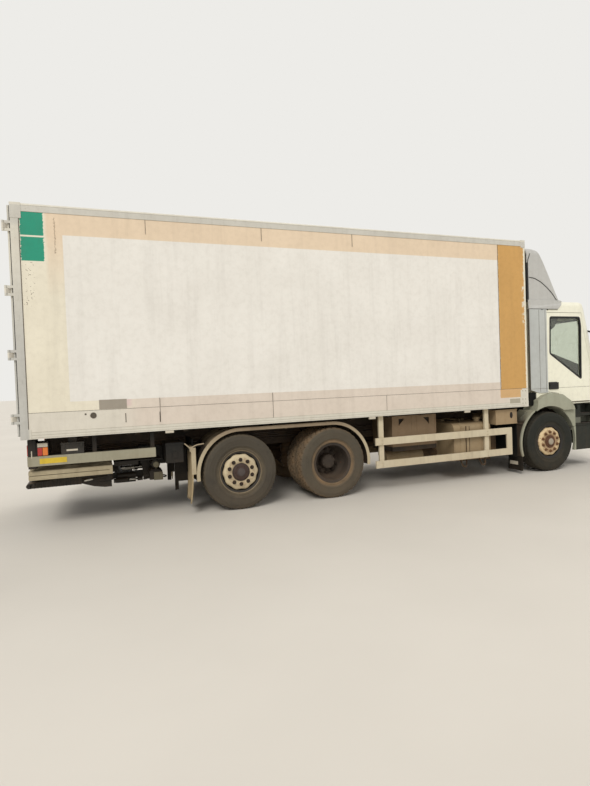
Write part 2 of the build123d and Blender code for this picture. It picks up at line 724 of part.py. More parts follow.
# Cab front: grille panel, pillars and screen opening
screen_half = 985
screen_hole = end_plate([(-screen_half, 1800), (screen_half, 1800),
                         (screen_half - 25, screen_top_z - 60),
                         (-screen_half + 25, screen_top_z - 60)], 900, 1600)
apron_bottom_z = 1084
apron_radius = 353
apron = cab_form(0, apron_bottom_z) - cab_form(40, apron_bottom_z - 60)
apron &= block(front_split_x, 1600, -1300, 1300, 1000, cab_under_z - 80)
apron -= rod_y(tilt_x, -1300, 1300, tilt_z, apron_radius)
cab_front = (body_skin & front_zone) + apron
cab_front -= screen_hole
cab_front -= block(1200, 1500, -800, 800, 1200, 1430)
for row in range(4):
    z = 1215 + row * 55
    cab_front += block(cab_front_x - 45, cab_front_x - 18, -805, 805, z, z + 22)
windscreen = (cab_form(20) - cab_form(20 + screen_thickness)) & screen_hole
windscreen &= block(front_split_x - 400, 1600, -1200, 1200, 1700, screen_top_z)
save("cab_front", cab_front)
save("windscreen", windscreen)

# Cab floor with the engine tunnel and the tilt arms
tunnel_half = 420
tunnel_top_z = 1520
floor = block(cab_back_x + cab_wall, front_split_x, -side_split_y, side_split_y, cab_under_z,
              cab_floor_top_z)
floor += block(cab_back_x + cab_wall, 930, -tunnel_half, tunnel_half, cab_under_z, tunnel_top_z)
floor -= block(cab_back_x + cab_wall - 1, 880, -tunnel_half + 50, tunnel_half - 50,
               cab_under_z - 1, tunnel_top_z - 50)
arm_lean = math.tan(math.radians(30))
lug_y0 = 500
lug_y1 = 560
lug_rise = cab_under_z + 10 - tilt_z
tilt_lug = side_plate([(tilt_x - 55, tilt_z - 30), (tilt_x + 40, tilt_z - 30),
                       (tilt_x + 45 - arm_lean * lug_rise, tilt_z + lug_rise),
                       (tilt_x - 90 - arm_lean * lug_rise, tilt_z + lug_rise)], -lug_y1, -lug_y0)
tilt_lug += rod_y(tilt_x, -lug_y1, -lug_y0, tilt_z, 55)
tilt_lug -= rod_y(tilt_x, -lug_y1 - 1, -lug_y0 + 1, tilt_z, tilt_pin_radius + pin_play)
floor += tilt_lug
floor += other_side(tilt_lug)
save("cab_floor", floor)

# Cab interior: dash with steering wheel and column, and two seats
wheel_side_y = 560
dash = side_plate([(front_split_x - 250, 1700), (front_split_x - 20, 1760),
                   (front_split_x - 20, 1400), (front_split_x - 130, 1400)], -1000, 1000)
column_foot = (front_split_x - 130, wheel_side_y, 1650)
column_head = (front_split_x - 330, wheel_side_y, 1880)
column = bar(column_foot, column_head, 30)
lean_dir = Vector(*column_head) - Vector(*column_foot)
ring = Plane(origin=column_head, z_dir=lean_dir) * Torus(215, 16)
spokes = Plane(origin=column_head, z_dir=lean_dir) * Box(420, 40, 16)
dash += column + ring + spokes
dash += block(front_split_x - 120, front_split_x - 20, -1000, 1000, cab_floor_top_z, 1401)


def seat(y):
    """A seat on its pedestal: cushion and backrest in side view."""
    shape = side_plate([(100, 1660), (600, 1690), (600, 1790), (180, 1760), (60, 2420), (-40, 2400),
                        (30, 1680)], y - 250, y + 250)
    return shape + block(200, 520, y - 180, y + 180, cab_floor_top_z, 1680)


save("cab_interior", dash, seat(-680), seat(680))

# Roof deflector: a hollow shell, open at the back, over the cooling unit
deflector_half = 1125
deflector_wall = 18
deflector_top_z = box_top_z - 48
deflector_rise = deflector_top_z - cab_roof_z


def deflector_form(inset):
    """The deflector's solid form, drawn in by inset; its bottom and back stay open."""
    low = cab_roof_z if inset == 0 else cab_roof_z - 50
    back = -320 if inset == 0 else -400
    slope = [(300 - 1.2 * inset, 0.19, 0.5), (180 - 1.2 * inset, 0.45, 0.6), (40 - inset, 0.735, 0.7),
             (-80 - 0.5 * inset, 0.94, 1), (-180, 0.987, 1), (back, 1, 1)]
    face = [(x, cab_roof_z + share * deflector_rise - drop * inset) for x, share, drop in slope]
    side = side_plate([(back, low), (395 - 1.4 * inset, low), *face], -1200, 1200)
    half = deflector_half - inset
    top = deflector_top_z - inset
    run = FilletPolyline((-600, -half, 2800), (-600, -half, top), (-600, half, top), (-600, half, 2800),
                         radius=140 - inset)
    view = make_face([run, Line((-600, half, 2800), (-600, -half, 2800))])
    return side & extrude(view, amount=1600, dir=(1, 0, 0))


deflector = deflector_form(0) - deflector_form(deflector_wall)
save("roof_deflector", deflector)

# Side fairings that close the gap behind the cab
fairing_y = cab_half_width + 14
fairing_top_z = cab_roof_z - 150
fairing = side_plate([(-340, 1440), (-150, 1380), (56, 1380), (56, fairing_top_z), (-340, fairing_top_z)],
                     -fairing_y, -cab_half_width)
save("side_fairings", both_sides(fairing))

# Cab mudguards: the part of each front wing that tilts with the cab
wing_inner_y = 930
wing = side_plate([(-270, step_split_z + 150), (-270, 1257), (-100, 1340), (70, 1371), (300, 1340),
                   (492, 1221), (575, 1110), (590, step_split_z + 8), (250, step_split_z + 8),
                   (-300, step_split_z + 8)], -tyre_outer_y, -wing_inner_y)
wing -= rod_y(0, -1300, -800, hub_z, arch_radius)
wing -= block(-400, 700, -cab_half_width, -700, cab_under_z - 80, 1400)
save("cab_mudguards", both_sides(wing))

# Mirrors on their arms, ahead of the doors
mirror_body = block(1150, 1250, -1430, -1200, 1880, 2480)
mirror_body = fillet(mirror_body.edges().filter_by(Axis.X), 40)
mirror_body += bar((1195, -1230, 2420), (1100, -1060, 2480), 16)
mirror_body += bar((1195, -1230, 1940), (1180, -1080, 1980), 16)
mirror_body -= cab_form(0)
save("mirrors", both_sides(mirror_body))


# Knuckles: a fork round the axle's eye, the stub axle and the steering arm
knuckle = block(-50, 50, -1040, -1000, 400, 660)
for z0, z1 in ((400, 460), (600, 660)):
    knuckle += block(-50, 50, -1040, -890, z0, z1)
knuckle -= rod_z(0, -kingpin_y, 390, 670, pin_radius + pin_play)
knuckle += rod_y(0, -stub_end_y, -1035, hub_z, stub_radius)
knuckle += plan_plate([(-50, -1000), (-50, -930), (arm_end_x + 25, -arm_end_y + 30),
                       (arm_end_x - 30, -arm_end_y + 15), (arm_end_x - 25, -arm_end_y - 35),
                       (-110, -1000)], arm_bottom_z, arm_bottom_z + 35)
knuckle += block(-50, -30, -1000, -930, arm_bottom_z, 440)
save("knuckle_right", knuckle)
save("knuckle_left", other_side(knuckle))

# Tyres: crown with four grooves, bulged sidewalls and beads
half_tyre = tyre_width / 2
tyre_section = [
    (rim_radius, 98), (rim_radius + 17, 100), (rim_radius + 22, 122), (rim_radius + 70, 140),
    (rim_radius + 130, half_tyre),
    (tyre_radius - 50, half_tyre - 8), (tyre_radius - 14, 128), (tyre_radius - 3, 112)]
groove_ys = [78, 28]
groove_width = 11
groove_depth = 13


def tyre(centre_y, x):
    """One tyre about its own middle plane."""
    half = list(tyre_section)
    for y in groove_ys:
        half += [(tyre_radius - 1, y + groove_width / 2), (tyre_radius - groove_depth, y + 3),
                 (tyre_radius - groove_depth, y - 3), (tyre_radius, y - groove_width / 2)]
    mirrored = [(r, -y) for r, y in reversed(half)]
    inner = [(rim_radius + 20, -80), (rim_radius + 20, 80)]
    points = [(r, centre_y + y) for r, y in half + mirrored + inner]
    return turned(points, x, hub_z)


def flange_profile(centre_y):
    """The rim barrel in section as (radius, y) points, outboard side last."""
    barrel = [(262, -116), (300, -118), (300, -106), (rim_radius, -104), (rim_radius, -72),
              (rim_radius - 22, -50), (rim_radius - 22, 50), (rim_radius, 72),
              (rim_radius, 104), (300, 106), (300, 118), (262, 116), (262, 96),
              (252, 50), (252, -50), (262, -96)]
    return [(r, centre_y + y) for r, y in barrel]


def hand_holes(x, y0, y1, radius, hole):
    """Ten round holes through a wheel disc."""
    holes = []
    for step in range(10):
        angle = math.radians(36 * step + 18)
        holes.append(rod_y(x + radius * math.cos(angle), y0, y1, hub_z + radius * math.sin(angle), hole))
    return Compound(holes)


def single_wheel(x):
    """A wheel with its disc near the outer face, hub and brake drum, on the right side."""
    wheel = turned(flange_profile(-wheel_y), x, hub_z)
    disc = [(60, -1228), (150, -1228), (165, -1218), (205, -1212), (240, -1190), (254, -1150),
            (254, -1130), (240, -1140), (226, -1178), (200, -1198), (160, -1204), (60, -1204)]
    wheel += turned(disc, x, hub_z)
    wheel -= hand_holes(x, -1260, -1120, 216, 19)
    drum = [(stub_radius + pin_play, -1060), (95, -1060), (95, -1150), (198, -1160), (198, -1075),
            (214, -1075), (214, -1180), (130, -1190), (130, -1205), (stub_radius + pin_play, -1205)]
    wheel += turned(drum, x, hub_z)
    cap = [(0, -1262), (55, -1262), (70, -1250), (70, -1200), (stub_radius + pin_play, -1200),
           (stub_radius + pin_play, -1220), (0, -1220)]
    return wheel + turned(cap, x, hub_z)


def twin_wheel(x):
    """Two wheels back to back on one hub, on the right side."""
    inner_y = -wheel_y + twin_spacing
    mid_y = -wheel_y + twin_spacing / 2
    wheel = turned(flange_profile(-wheel_y), x, hub_z) + turned(flange_profile(inner_y), x, hub_z)
    for sign in (-1, 1):
        disc = [(110, mid_y), (170, mid_y), (200, mid_y + sign * 16), (238, mid_y + sign * 50),
                (254, mid_y + sign * 125), (254, mid_y + sign * 145), (240, mid_y + sign * 125),
                (224, mid_y + sign * 60), (196, mid_y + sign * 32), (170, mid_y + sign * 20),
                (110, mid_y + sign * 20)]
        wheel += turned(disc, x, hub_z)
    wheel -= hand_holes(x, mid_y - 80, mid_y + 80, 216, 19)
    play = spindle_radius + pin_play
    hub = [(play, mid_y + 240), (120, mid_y + 240), (120, mid_y + 190), (214, mid_y + 180),
           (214, mid_y + 60), (198, mid_y + 60), (198, mid_y + 165), (120, mid_y + 175),
           (120, mid_y - 20), (105, mid_y - 30), (105, mid_y - 130), (90, mid_y - 145), (0, mid_y - 145),
           (0, mid_y - 60), (play, mid_y - 60)]
    return wheel + turned(hub, x, hub_z)


for name, x in (("front", 0), ("tag", tag_x)):
    wheel = single_wheel(x)
    save(f"wheel_{name}_right", wheel)
    save(f"wheel_{name}_left", other_side(wheel))
    ring_tyre = tyre(-wheel_y, x)
    save(f"tyre_{name}_right", ring_tyre)
    save(f"tyre_{name}_left", other_side(ring_tyre))
twins = twin_wheel(drive_x)
save("wheel_drive_right", twins)
save("wheel_drive_left", other_side(twins))
twin_tyres = Compound([*tyre(-wheel_y, drive_x).solids(), *tyre(-wheel_y + twin_spacing, drive_x).solids()])
save("tyres_drive_right", twin_tyres)
save("tyres_drive_left", other_side(twin_tyres))


# Tail lift, fixed part: a slide bar on a web outside each frame rail
bar_half_y = 30
bar_half_z = 40
bar_front_x = -6400
slide_bars = block(rail_rear_x, bar_front_x, -slide_bar_y - bar_half_y, -slide_bar_y + bar_half_y,
                   slide_bar_z - bar_half_z, slide_bar_z + bar_half_z)
slide_bars += block(rail_rear_x, bar_front_x, -slide_bar_y + bar_half_y - 1, -rail_outer_y,
                    slide_bar_z - 20, slide_bar_z + 20)
save("lift_rails", both_sides(slide_bars))

# Tail lift carriage: shoes round the slide bars, hangers, cross tube and pump
shoe_x0 = arm_pivot_x - 150
shoe_x1 = arm_pivot_x + 150
shoe_wall = 18
play = 0.5
outer_y = slide_bar_y + bar_half_y
carriage = block(shoe_x0, shoe_x1, -outer_y - shoe_wall, -slide_bar_y + bar_half_y - 5,
                 slide_bar_z - bar_half_z - shoe_wall, slide_bar_z + bar_half_z + shoe_wall)
carriage -= block(shoe_x0 - 1, shoe_x1 + 1, -outer_y - play, -slide_bar_y + bar_half_y + 1,
                  slide_bar_z - bar_half_z - play, slide_bar_z + bar_half_z + play)
carriage += side_plate([(shoe_x0, slide_bar_z), (shoe_x1, slide_bar_z), (shoe_x1 - 60, 440),
                        (shoe_x0 + 60, 440)], -outer_y - shoe_wall - 20, -outer_y - shoe_wall + 1)
carriage = Compound([*carriage.solids(), *other_side(carriage).solids()])
tube_end = outer_y + shoe_wall + 10
carriage = carriage + rod_y(arm_pivot_x + 90, -tube_end, tube_end, 560, 45)
carriage += rod_y(arm_pivot_x, -tube_end, tube_end, arm_pivot_z, pin_radius)
carriage += block(arm_pivot_x - 60, arm_pivot_x + 150, -160, 160, 600, 740)
save("lift_carriage", carriage)

# Tail lift arms: two arms with their cylinders, joined by a tube
head_x = arm_pivot_x - arm_length
arms = None
arm_outline = [(head_x + 40, arm_pivot_z - 35), (arm_pivot_x, arm_pivot_z - 50),
               (arm_pivot_x, arm_pivot_z + 50), (head_x + 40, arm_pivot_z + 40)]
for side in (-1, 1):
    y0 = side * arm_y - arm_thickness / 2
    y1 = side * arm_y + arm_thickness / 2
    arm = side_plate(arm_outline, y0, y1)
    arm += rod_y(arm_pivot_x, y0, y1, arm_pivot_z, 50)
    arm += rod_y(head_x, y0, y1, arm_pivot_z, 45)
    arm += block(head_x, head_x + 60, y0, y1, arm_pivot_z - 40, arm_pivot_z + 40)
    arm -= rod_y(arm_pivot_x, y0 - 1, y1 + 1, arm_pivot_z, pin_radius + pin_play)
    arm -= rod_y(head_x, y0 - 1, y1 + 1, arm_pivot_z, pin_radius + pin_play)
    arms = arm if arms is None else arms + arm
tie_x = arm_pivot_x - 400
arms += rod_y(tie_x, -arm_y, arm_y, arm_pivot_z, 30)
for y in (-arm_y + 120, arm_y - 120):
    arms += rod_x(tie_x, arm_pivot_x - 170, y, arm_pivot_z, 32)
    arms += rod_x(arm_pivot_x - 180, arm_pivot_x - 60, y, arm_pivot_z, 16)
save("lift_arms", arms)

# Folded platform with its hinge forks and the ribbed wedge under it
platform = block(platform_rear_x, platform_front_x, -platform_half_width, platform_half_width,
                 platform_bottom_z, platform_top_z)
fold_z = (platform_bottom_z + platform_top_z) / 2
platform -= block(platform_rear_x - 1, platform_front_x - 40, -platform_half_width - 1,
                  platform_half_width + 1, fold_z - 3, fold_z + 3)
wedge_front_x = -7660
platform += side_plate([(platform_rear_x - 20, 530), (wedge_front_x, 530),
                        (wedge_front_x, platform_bottom_z + 1), (platform_rear_x - 20, 590)],
                       -1000, 1000)
platform += block(platform_rear_x, platform_rear_x + 60, -900, 900, 585, platform_bottom_z + 1)
for side in (-1, 1):
    for y in (arm_y - arm_thickness / 2 - free_gap - 15, arm_y + arm_thickness / 2 + free_gap + 15):
        platform += block(wedge_front_x - 20, head_x + 20, side * y - 15, side * y + 15, 540,
                          platform_bottom_z + 1)
        platform += block(head_x - 90, head_x + 45, side * y - 15, side * y + 15, 455, 545)
    reach = arm_thickness / 2 + free_gap + 1
    platform += rod_y(head_x, side * arm_y - reach, side * arm_y + reach, arm_pivot_z, pin_radius)
save("lift_platform", platform)
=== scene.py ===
import math

import bmesh
import bpy
from mathutils import Matrix, Vector


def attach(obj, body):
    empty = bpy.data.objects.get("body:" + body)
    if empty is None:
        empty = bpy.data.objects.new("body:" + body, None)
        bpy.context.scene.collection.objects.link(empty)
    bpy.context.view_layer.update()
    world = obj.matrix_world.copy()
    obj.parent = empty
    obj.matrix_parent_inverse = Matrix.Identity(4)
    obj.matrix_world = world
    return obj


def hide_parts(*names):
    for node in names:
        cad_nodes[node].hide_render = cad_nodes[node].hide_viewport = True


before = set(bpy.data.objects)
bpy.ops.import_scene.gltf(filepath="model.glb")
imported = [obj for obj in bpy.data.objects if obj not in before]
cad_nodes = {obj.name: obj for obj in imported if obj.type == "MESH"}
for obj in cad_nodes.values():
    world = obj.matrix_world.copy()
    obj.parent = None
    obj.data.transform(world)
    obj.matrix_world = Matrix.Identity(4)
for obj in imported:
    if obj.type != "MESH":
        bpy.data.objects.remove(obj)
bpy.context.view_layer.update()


# Camera, floor and light.
# A hand-held camera stands off the truck's right side, turned a little towards the cab, over a
# plain pale floor in soft light from two sides.
front_axle = 3.485
picture_height = 786.0
lens_in_pixels = 524.3166
camera_place = (-3.9197, -8.276, 1.7698)
camera_yaw, camera_pitch, camera_roll = -0.3591, -0.0253, -0.0366
scene = bpy.context.scene
scene.view_settings.view_transform = "Standard"
camera_data = bpy.data.cameras.new("camera")
camera_data.sensor_width = 36.0
camera_data.lens = camera_data.sensor_width * lens_in_pixels / picture_height
camera = bpy.data.objects.new("camera", camera_data)
scene.collection.objects.link(camera)
scene.camera = camera
ahead = Vector((-math.sin(camera_yaw) * math.cos(camera_pitch),
                math.cos(camera_yaw) * math.cos(camera_pitch), math.sin(camera_pitch)))
across = Vector((math.cos(camera_yaw), math.sin(camera_yaw), 0.0))
upward = across.cross(ahead)
tilted_across = math.cos(camera_roll) * across + math.sin(camera_roll) * upward
tilted_up = math.cos(camera_roll) * upward - math.sin(camera_roll) * across
camera.matrix_world = (Matrix.Translation(camera_place)
                       @ Matrix((tilted_across, tilted_up, -ahead)).transposed().to_4x4())


def srgb(red, green, blue):
    """A colour as the eye names it, turned into the shader's linear values."""
    def line(value):
        return value / 12.92 if value <= 0.04045 else ((value + 0.055) / 1.055) ** 2.4
    return (line(red), line(green), line(blue), 1.0)


def wire(tree, kind, values=None, **settings):
    """One shader node with its settings, its inputs filled by values or by other nodes."""
    made = tree.nodes.new(kind)
    for name, value in settings.items():
        setattr(made, name, value)
    for socket, value in (values or {}).items():
        if isinstance(value, bpy.types.NodeSocket):
            tree.links.new(value, made.inputs[socket])
        else:
            made.inputs[socket].default_value = value
    return made


hall = bpy.data.worlds.new("hall")
scene.world = hall
hall.use_nodes = True
hall_tree = hall.node_tree
hall_tree.nodes.clear()
ray = wire(hall_tree, "ShaderNodeLightPath")
seen = wire(hall_tree, "ShaderNodeMath", {0: ray.outputs["Is Camera Ray"],
                                          1: ray.outputs["Is Glossy Ray"]}, operation="MAXIMUM")
seen = wire(hall_tree, "ShaderNodeMath", {0: seen.outputs[0],
                                          1: ray.outputs["Is Transmission Ray"]}, operation="MAXIMUM")
soft_light = wire(hall_tree, "ShaderNodeBackground", {"Color": (1.0, 0.985, 0.96, 1.0), "Strength": 0.66})
wall_light = wire(hall_tree, "ShaderNodeBackground", {"Color": srgb(0.93, 0.925, 0.91), "Strength": 1.0})
either = wire(hall_tree, "ShaderNodeMixShader", {0: seen.outputs[0], 1: soft_light.outputs[0],
                                                 2: wall_light.outputs[0]})
wire(hall_tree, "ShaderNodeOutputWorld", {"Surface": either.outputs[0]})

for lamp_name, strength, turn, tip, spread in (("window_light", 1.62, -35, 48, 25),
                                               ("far_window_light", 0.6, 150, 40, 30)):
    lamp_data = bpy.data.lights.new(lamp_name, "SUN")
    lamp_data.energy = strength
    lamp_data.angle = math.radians(spread)
    lamp_data.color = (1.0, 0.97, 0.92)
    lamp = bpy.data.objects.new(lamp_name, lamp_data)
    lamp.matrix_world = (Matrix.Rotation(math.radians(turn), 4, "Z")
                         @ Matrix.Rotation(math.radians(tip), 4, "X"))
    scene.collection.objects.link(lamp)

floor_mesh = bpy.data.meshes.new("hall_floor")
floor_mesh.from_pydata([(-70, -60, 0), (70, -60, 0), (70, 90, 0), (-70, 90, 0)], [], [(0, 1, 2, 3)])
hall_floor = bpy.data.objects.new("hall_floor", floor_mesh)
scene.collection.objects.link(hall_floor)
floor_paint = bpy.data.materials.new("hall_floor")
floor_paint.use_nodes = True
floor_tree = floor_paint.node_tree
floor_place = wire(floor_tree, "ShaderNodeTexCoord")
floor_cloud = wire(floor_tree, "ShaderNodeTexNoise", {"Vector": floor_place.outputs["Object"],
                                                      "Scale": 0.6, "Detail": 6.0})
floor_tone = wire(floor_tree, "ShaderNodeMix", {0: floor_cloud.outputs[0], 6: srgb(0.80, 0.78, 0.745),
                                                7: srgb(0.845, 0.825, 0.79)}, data_type="RGBA")
floor_shader = floor_tree.nodes["Principled BSDF"]
floor_tree.links.new(floor_tone.outputs[2], floor_shader.inputs["Base Color"])
floor_shader.inputs["Roughness"].default_value = 0.85
floor_mesh.materials.append(floor_paint)


# Steel frame, engine, gearbox and shaft.
# Pressed steel channels, bolted cross members and cast units, all in black chassis paint under
# years of road dust. The finish is made here, because every other piece uses the same kinds of wear.
def patches(tree, place, scale, low, high, stretch=(1.0, 1.0, 1.0), detail=5.0):
    """Cloudy patches between 0 and 1, stretched along an axis for streaks."""
    moved = wire(tree, "ShaderNodeMapping", {"Vector": place, "Scale": stretch})
    cloud = wire(tree, "ShaderNodeTexNoise", {"Vector": moved.outputs[0], "Scale": scale,
                                              "Detail": detail, "Roughness": 0.62})
    return rise(tree, cloud.outputs[0], low, high)


def rise(tree, value, low, high):
    """0 below low, 1 above high, and a straight slope between."""
    return wire(tree, "ShaderNodeMapRange", {"Value": value, "From Min": low, "From Max": high}).outputs[0]


def both(tree, one, other, way="MULTIPLY"):
    """Two amounts worked together."""
    return wire(tree, "ShaderNodeMath", {0: one, 1: other}, operation=way, use_clamp=True).outputs[0]


def over(tree, amount, under, top):
    """One colour laid over another by an amount."""
    return wire(tree, "ShaderNodeMix", {0: amount, 6: under, 7: top}, data_type="RGBA").outputs[2]


def shaded(tree, amount, under, tint):
    """A colour darkened by a tint, by an amount."""
    return wire(tree, "ShaderNodeMix", {0: amount, 6: under, 7: tint}, data_type="RGBA",
                blend_type="MULTIPLY").outputs[2]


def finish(name, colour, rough=0.5, metal=0.0, second=None, dust=0.5, dust_top=1.3, streaks=0.25,
           chips=0.0, chip_colour=(0.30, 0.17, 0.10), grain=0.15, grain_size=60.0, gloss=0.0,
           livery=None, dust_colour=(0.56, 0.45, 0.33), clear=0.0, shine=0.5):
    """A worn finish: mottled colour, streaks of dirt, chips down to rust, and dust that thickens
    towards the ground."""
    made = bpy.data.materials.new(name)
    made.use_nodes = True
    tree = made.node_tree
    shader = tree.nodes["Principled BSDF"]
    place = wire(tree, "ShaderNodeTexCoord").outputs["Object"]
    parts = wire(tree, "ShaderNodeSeparateXYZ", {0: place})
    base = srgb(*colour)
    if livery:
        base = livery(tree, place, parts)
    second = second or tuple(value * 0.86 for value in colour)
    cloud = patches(tree, place, 1.7, 0.35, 0.75)
    fine = patches(tree, place, 14.0, 0.45, 0.8)
    if livery:
        tint = srgb(*(0.94 * s / c for s, c in zip(second, colour)))
        tone = shaded(tree, both(tree, cloud, 0.5), base, tint)
        tone = shaded(tree, both(tree, fine, 0.25), tone, srgb(0.84, 0.83, 0.81))
    else:
        tone = over(tree, both(tree, cloud, 0.5), base, srgb(*second))
        tone = over(tree, both(tree, fine, 0.25), tone, srgb(*(value * 0.8 for value in colour)))
    drips = patches(tree, place, 9.0, 0.50, 0.78, stretch=(1.0, 1.0, 0.07))
    tone = over(tree, both(tree, drips, streaks), tone, srgb(*(value * 0.62 for value in dust_colour)))
    low = rise(tree, parts.outputs["Z"], dust_top, 0.15)
    settled = both(tree, both(tree, low, patches(tree, place, 4.0, 0.25, 0.7)), dust)
    normal = wire(tree, "ShaderNodeNewGeometry")
    facing = wire(tree, "ShaderNodeSeparateXYZ", {0: normal.outputs["Normal"]}).outputs["Z"]
    lying = both(tree, rise(tree, facing, 0.4, 0.95), both(tree, patches(tree, place, 7.0, 0.2, 0.8), dust))
    settled = both(tree, settled, lying, "ADD")
    tone = over(tree, settled, tone, srgb(*dust_colour))
    dull = both(tree, settled, 0.4)
    if chips:
        flakes = patches(tree, place, 26.0, 0.80 - 0.28 * chips, 0.84 - 0.28 * chips, detail=8.0)
        halo = patches(tree, place, 26.0, 0.74 - 0.28 * chips, 0.84 - 0.28 * chips, detail=8.0)
        tone = over(tree, both(tree, halo, 0.35), tone, srgb(*(min(1, v * 1.6) for v in chip_colour)))
        tone = over(tree, flakes, tone, srgb(*chip_colour))
        dull = both(tree, dull, both(tree, flakes, 0.35), "ADD")
    worn = both(tree, both(tree, dull, both(tree, fine, 0.12), "ADD"), rough, "ADD")
    tree.links.new(tone, shader.inputs["Base Color"])
    tree.links.new(worn, shader.inputs["Roughness"])
    shader.inputs["Metallic"].default_value = metal
    shader.inputs["Specular IOR Level"].default_value = shine
    if gloss:
        shader.inputs["Coat Weight"].default_value = gloss
        shader.inputs["Coat Roughness"].default_value = 0.22
    if clear:
        shader.inputs["Transmission Weight"].default_value = clear
        shader.inputs["IOR"].default_value = 1.45
    bumps = patches(tree, place, grain_size, 0.0, 1.0, detail=3.0)
    relief = wire(tree, "ShaderNodeBump", {"Height": bumps, "Strength": grain, "Distance": 0.004})
    tree.links.new(relief.outputs[0], shader.inputs["Normal"])
    return made


def dress(material, *names):
    """CAD parts that keep their shape and get a finish."""
    for name in names:
        mesh = cad_nodes[name].data
        mesh.materials.clear()
        mesh.materials.append(material)


def piece(name, mesh, material, body, smooth=False, bevel=0.0, sharp=0.0):
    """A made mesh, measured forward from the front axle, as a piece on its body. Sharp is the angle
    in degrees above which a smooth piece keeps its edges."""
    bmesh.ops.translate(mesh, verts=mesh.verts, vec=(front_axle, 0.0, 0.0))
    bmesh.ops.recalc_face_normals(mesh, faces=mesh.faces)
    data = bpy.data.meshes.new(name)
    mesh.to_mesh(data)
    mesh.free()
    data.materials.append(material)
    made = bpy.data.objects.new(name, data)
    scene.collection.objects.link(made)
    if smooth or sharp:
        for face in data.polygons:
            face.use_smooth = True
    if sharp:
        data.set_sharp_from_angle(angle=math.radians(sharp))
    if bevel:
        edge = made.modifiers.new("edge", "BEVEL")
        edge.width = bevel
        edge.segments = 2
        edge.limit_method = "ANGLE"
        edge.angle_limit = math.radians(40)
    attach(made, body)
    return made


def seat(spot, way):
    """The place and turn of a part that stands on a surface."""
    turn = Vector((0, 0, 1)).rotation_difference(Vector(way))
    return Matrix.Translation(spot) @ turn.to_matrix().to_4x4()


def cone(mesh, base, low, high, wide, tight, sides):
    """A closed cone between two heights over its seat."""
    bmesh.ops.create_cone(mesh, cap_ends=True, segments=sides, radius1=wide, radius2=tight,
                          depth=high - low, matrix=base @ Matrix.Translation((0, 0, (low + high) / 2)))


def bolt(mesh, spot, way, radius, height):
    """A hexagon head on its washer."""
    base = seat(spot, way)
    cone(mesh, base, 0.0, 0.4 * height, 1.35 * radius, 1.3 * radius, 12)
    cone(mesh, base, 0.2 * height, 1.2 * height, radius, 0.96 * radius, 6)


def bolts(mesh, xs, y, zs, radius, height):
    """Bolts at every x and z, facing outward on both sides of the truck."""
    for side in (-1, 1):
        for x in xs:
            for z in zs:
                bolt(mesh, (x, side * y, z), (0, side, 0), radius, height)


def bridge(mesh, row, beside, closed=True):
    """Faces between two matching rows of corners."""
    count = len(row)
    for i in range(count if closed else count - 1):
        j = (i + 1) % count
        mesh.faces.new((row[i], row[j], beside[j], beside[i]))


def circle(mesh, centre, radius, side, rest, count):
    """A ring of corners round a centre."""
    return [mesh.verts.new(centre + radius * (math.cos(angle) * side + math.sin(angle) * rest))
            for angle in (2 * math.pi * step / count for step in range(count))]


def bend(before, corner, after, cut_in, cut_out):
    """A short curve that takes the place of a corner."""
    first = corner + (before - corner).normalized() * cut_in
    last = corner + (after - corner).normalized() * cut_out
    return [first.lerp(corner, share).lerp(corner.lerp(last, share), share)
            for share in (0.0, 0.25, 0.5, 0.75, 1.0)]


def pipe(mesh, points, radius, sides=8):
    """A tube of even thickness along corners that are rounded a little."""
    route = [Vector(p) for p in points]
    path = [route[0]]
    for before, corner, after in zip(route, route[1:], route[2:]):
        cut = min(0.35 * (before - corner).length, 0.35 * (after - corner).length, 6 * radius)
        path += bend(before, corner, after, cut, cut)
    path.append(route[-1])
    ring_before = None
    for index, spot in enumerate(path):
        run = (path[min(index + 1, len(path) - 1)] - path[max(index - 1, 0)]).normalized()
        side = run.cross(Vector((0.013, 0.021, 1.0)) if abs(run.z) < 0.9 else Vector((0, 1, 0.01)))
        side.normalize()
        ring = circle(mesh, spot, radius, side, run.cross(side), sides)
        if ring_before:
            bridge(mesh, ring_before, ring)
        else:
            mesh.faces.new(ring[::-1])
        ring_before = ring
    mesh.faces.new(ring_before)


chassis_black = finish("chassis_black", (0.17, 0.16, 0.15), rough=0.6, second=(0.23, 0.20, 0.17), dust=0.55,
                       dust_top=1.5, chips=0.35, grain=0.2, shine=0.25)
running_gear = finish("running_gear", (0.14, 0.125, 0.11), rough=0.7, second=(0.24, 0.19, 0.14),
                      dust=0.6, dust_top=1.2, chips=0.5, grain=0.35, shine=0.2)
dress(chassis_black, "frame_rails", "box_bearers")
dress(running_gear, "driveline", "axles", "knuckle_right", "knuckle_left")

web_y = 0.430
web_bolt_pitch = 0.148
web_bolt_places = [-7.95 + step * web_bolt_pitch for step in range(62)]
mesh = bmesh.new()
bolts(mesh, [x for x in web_bolt_places if not -0.3 < x < -0.05], web_y, (0.83, 0.99), 0.011, 0.009)
for x in (-1.35, -2.3, -3.3, -4.9, -6.25):
    bolts(mesh, (x - 0.03, x + 0.03), web_y, (0.865, 0.915, 0.965), 0.014, 0.012)
piece("frame_bolts", mesh, chassis_black, "chassis")

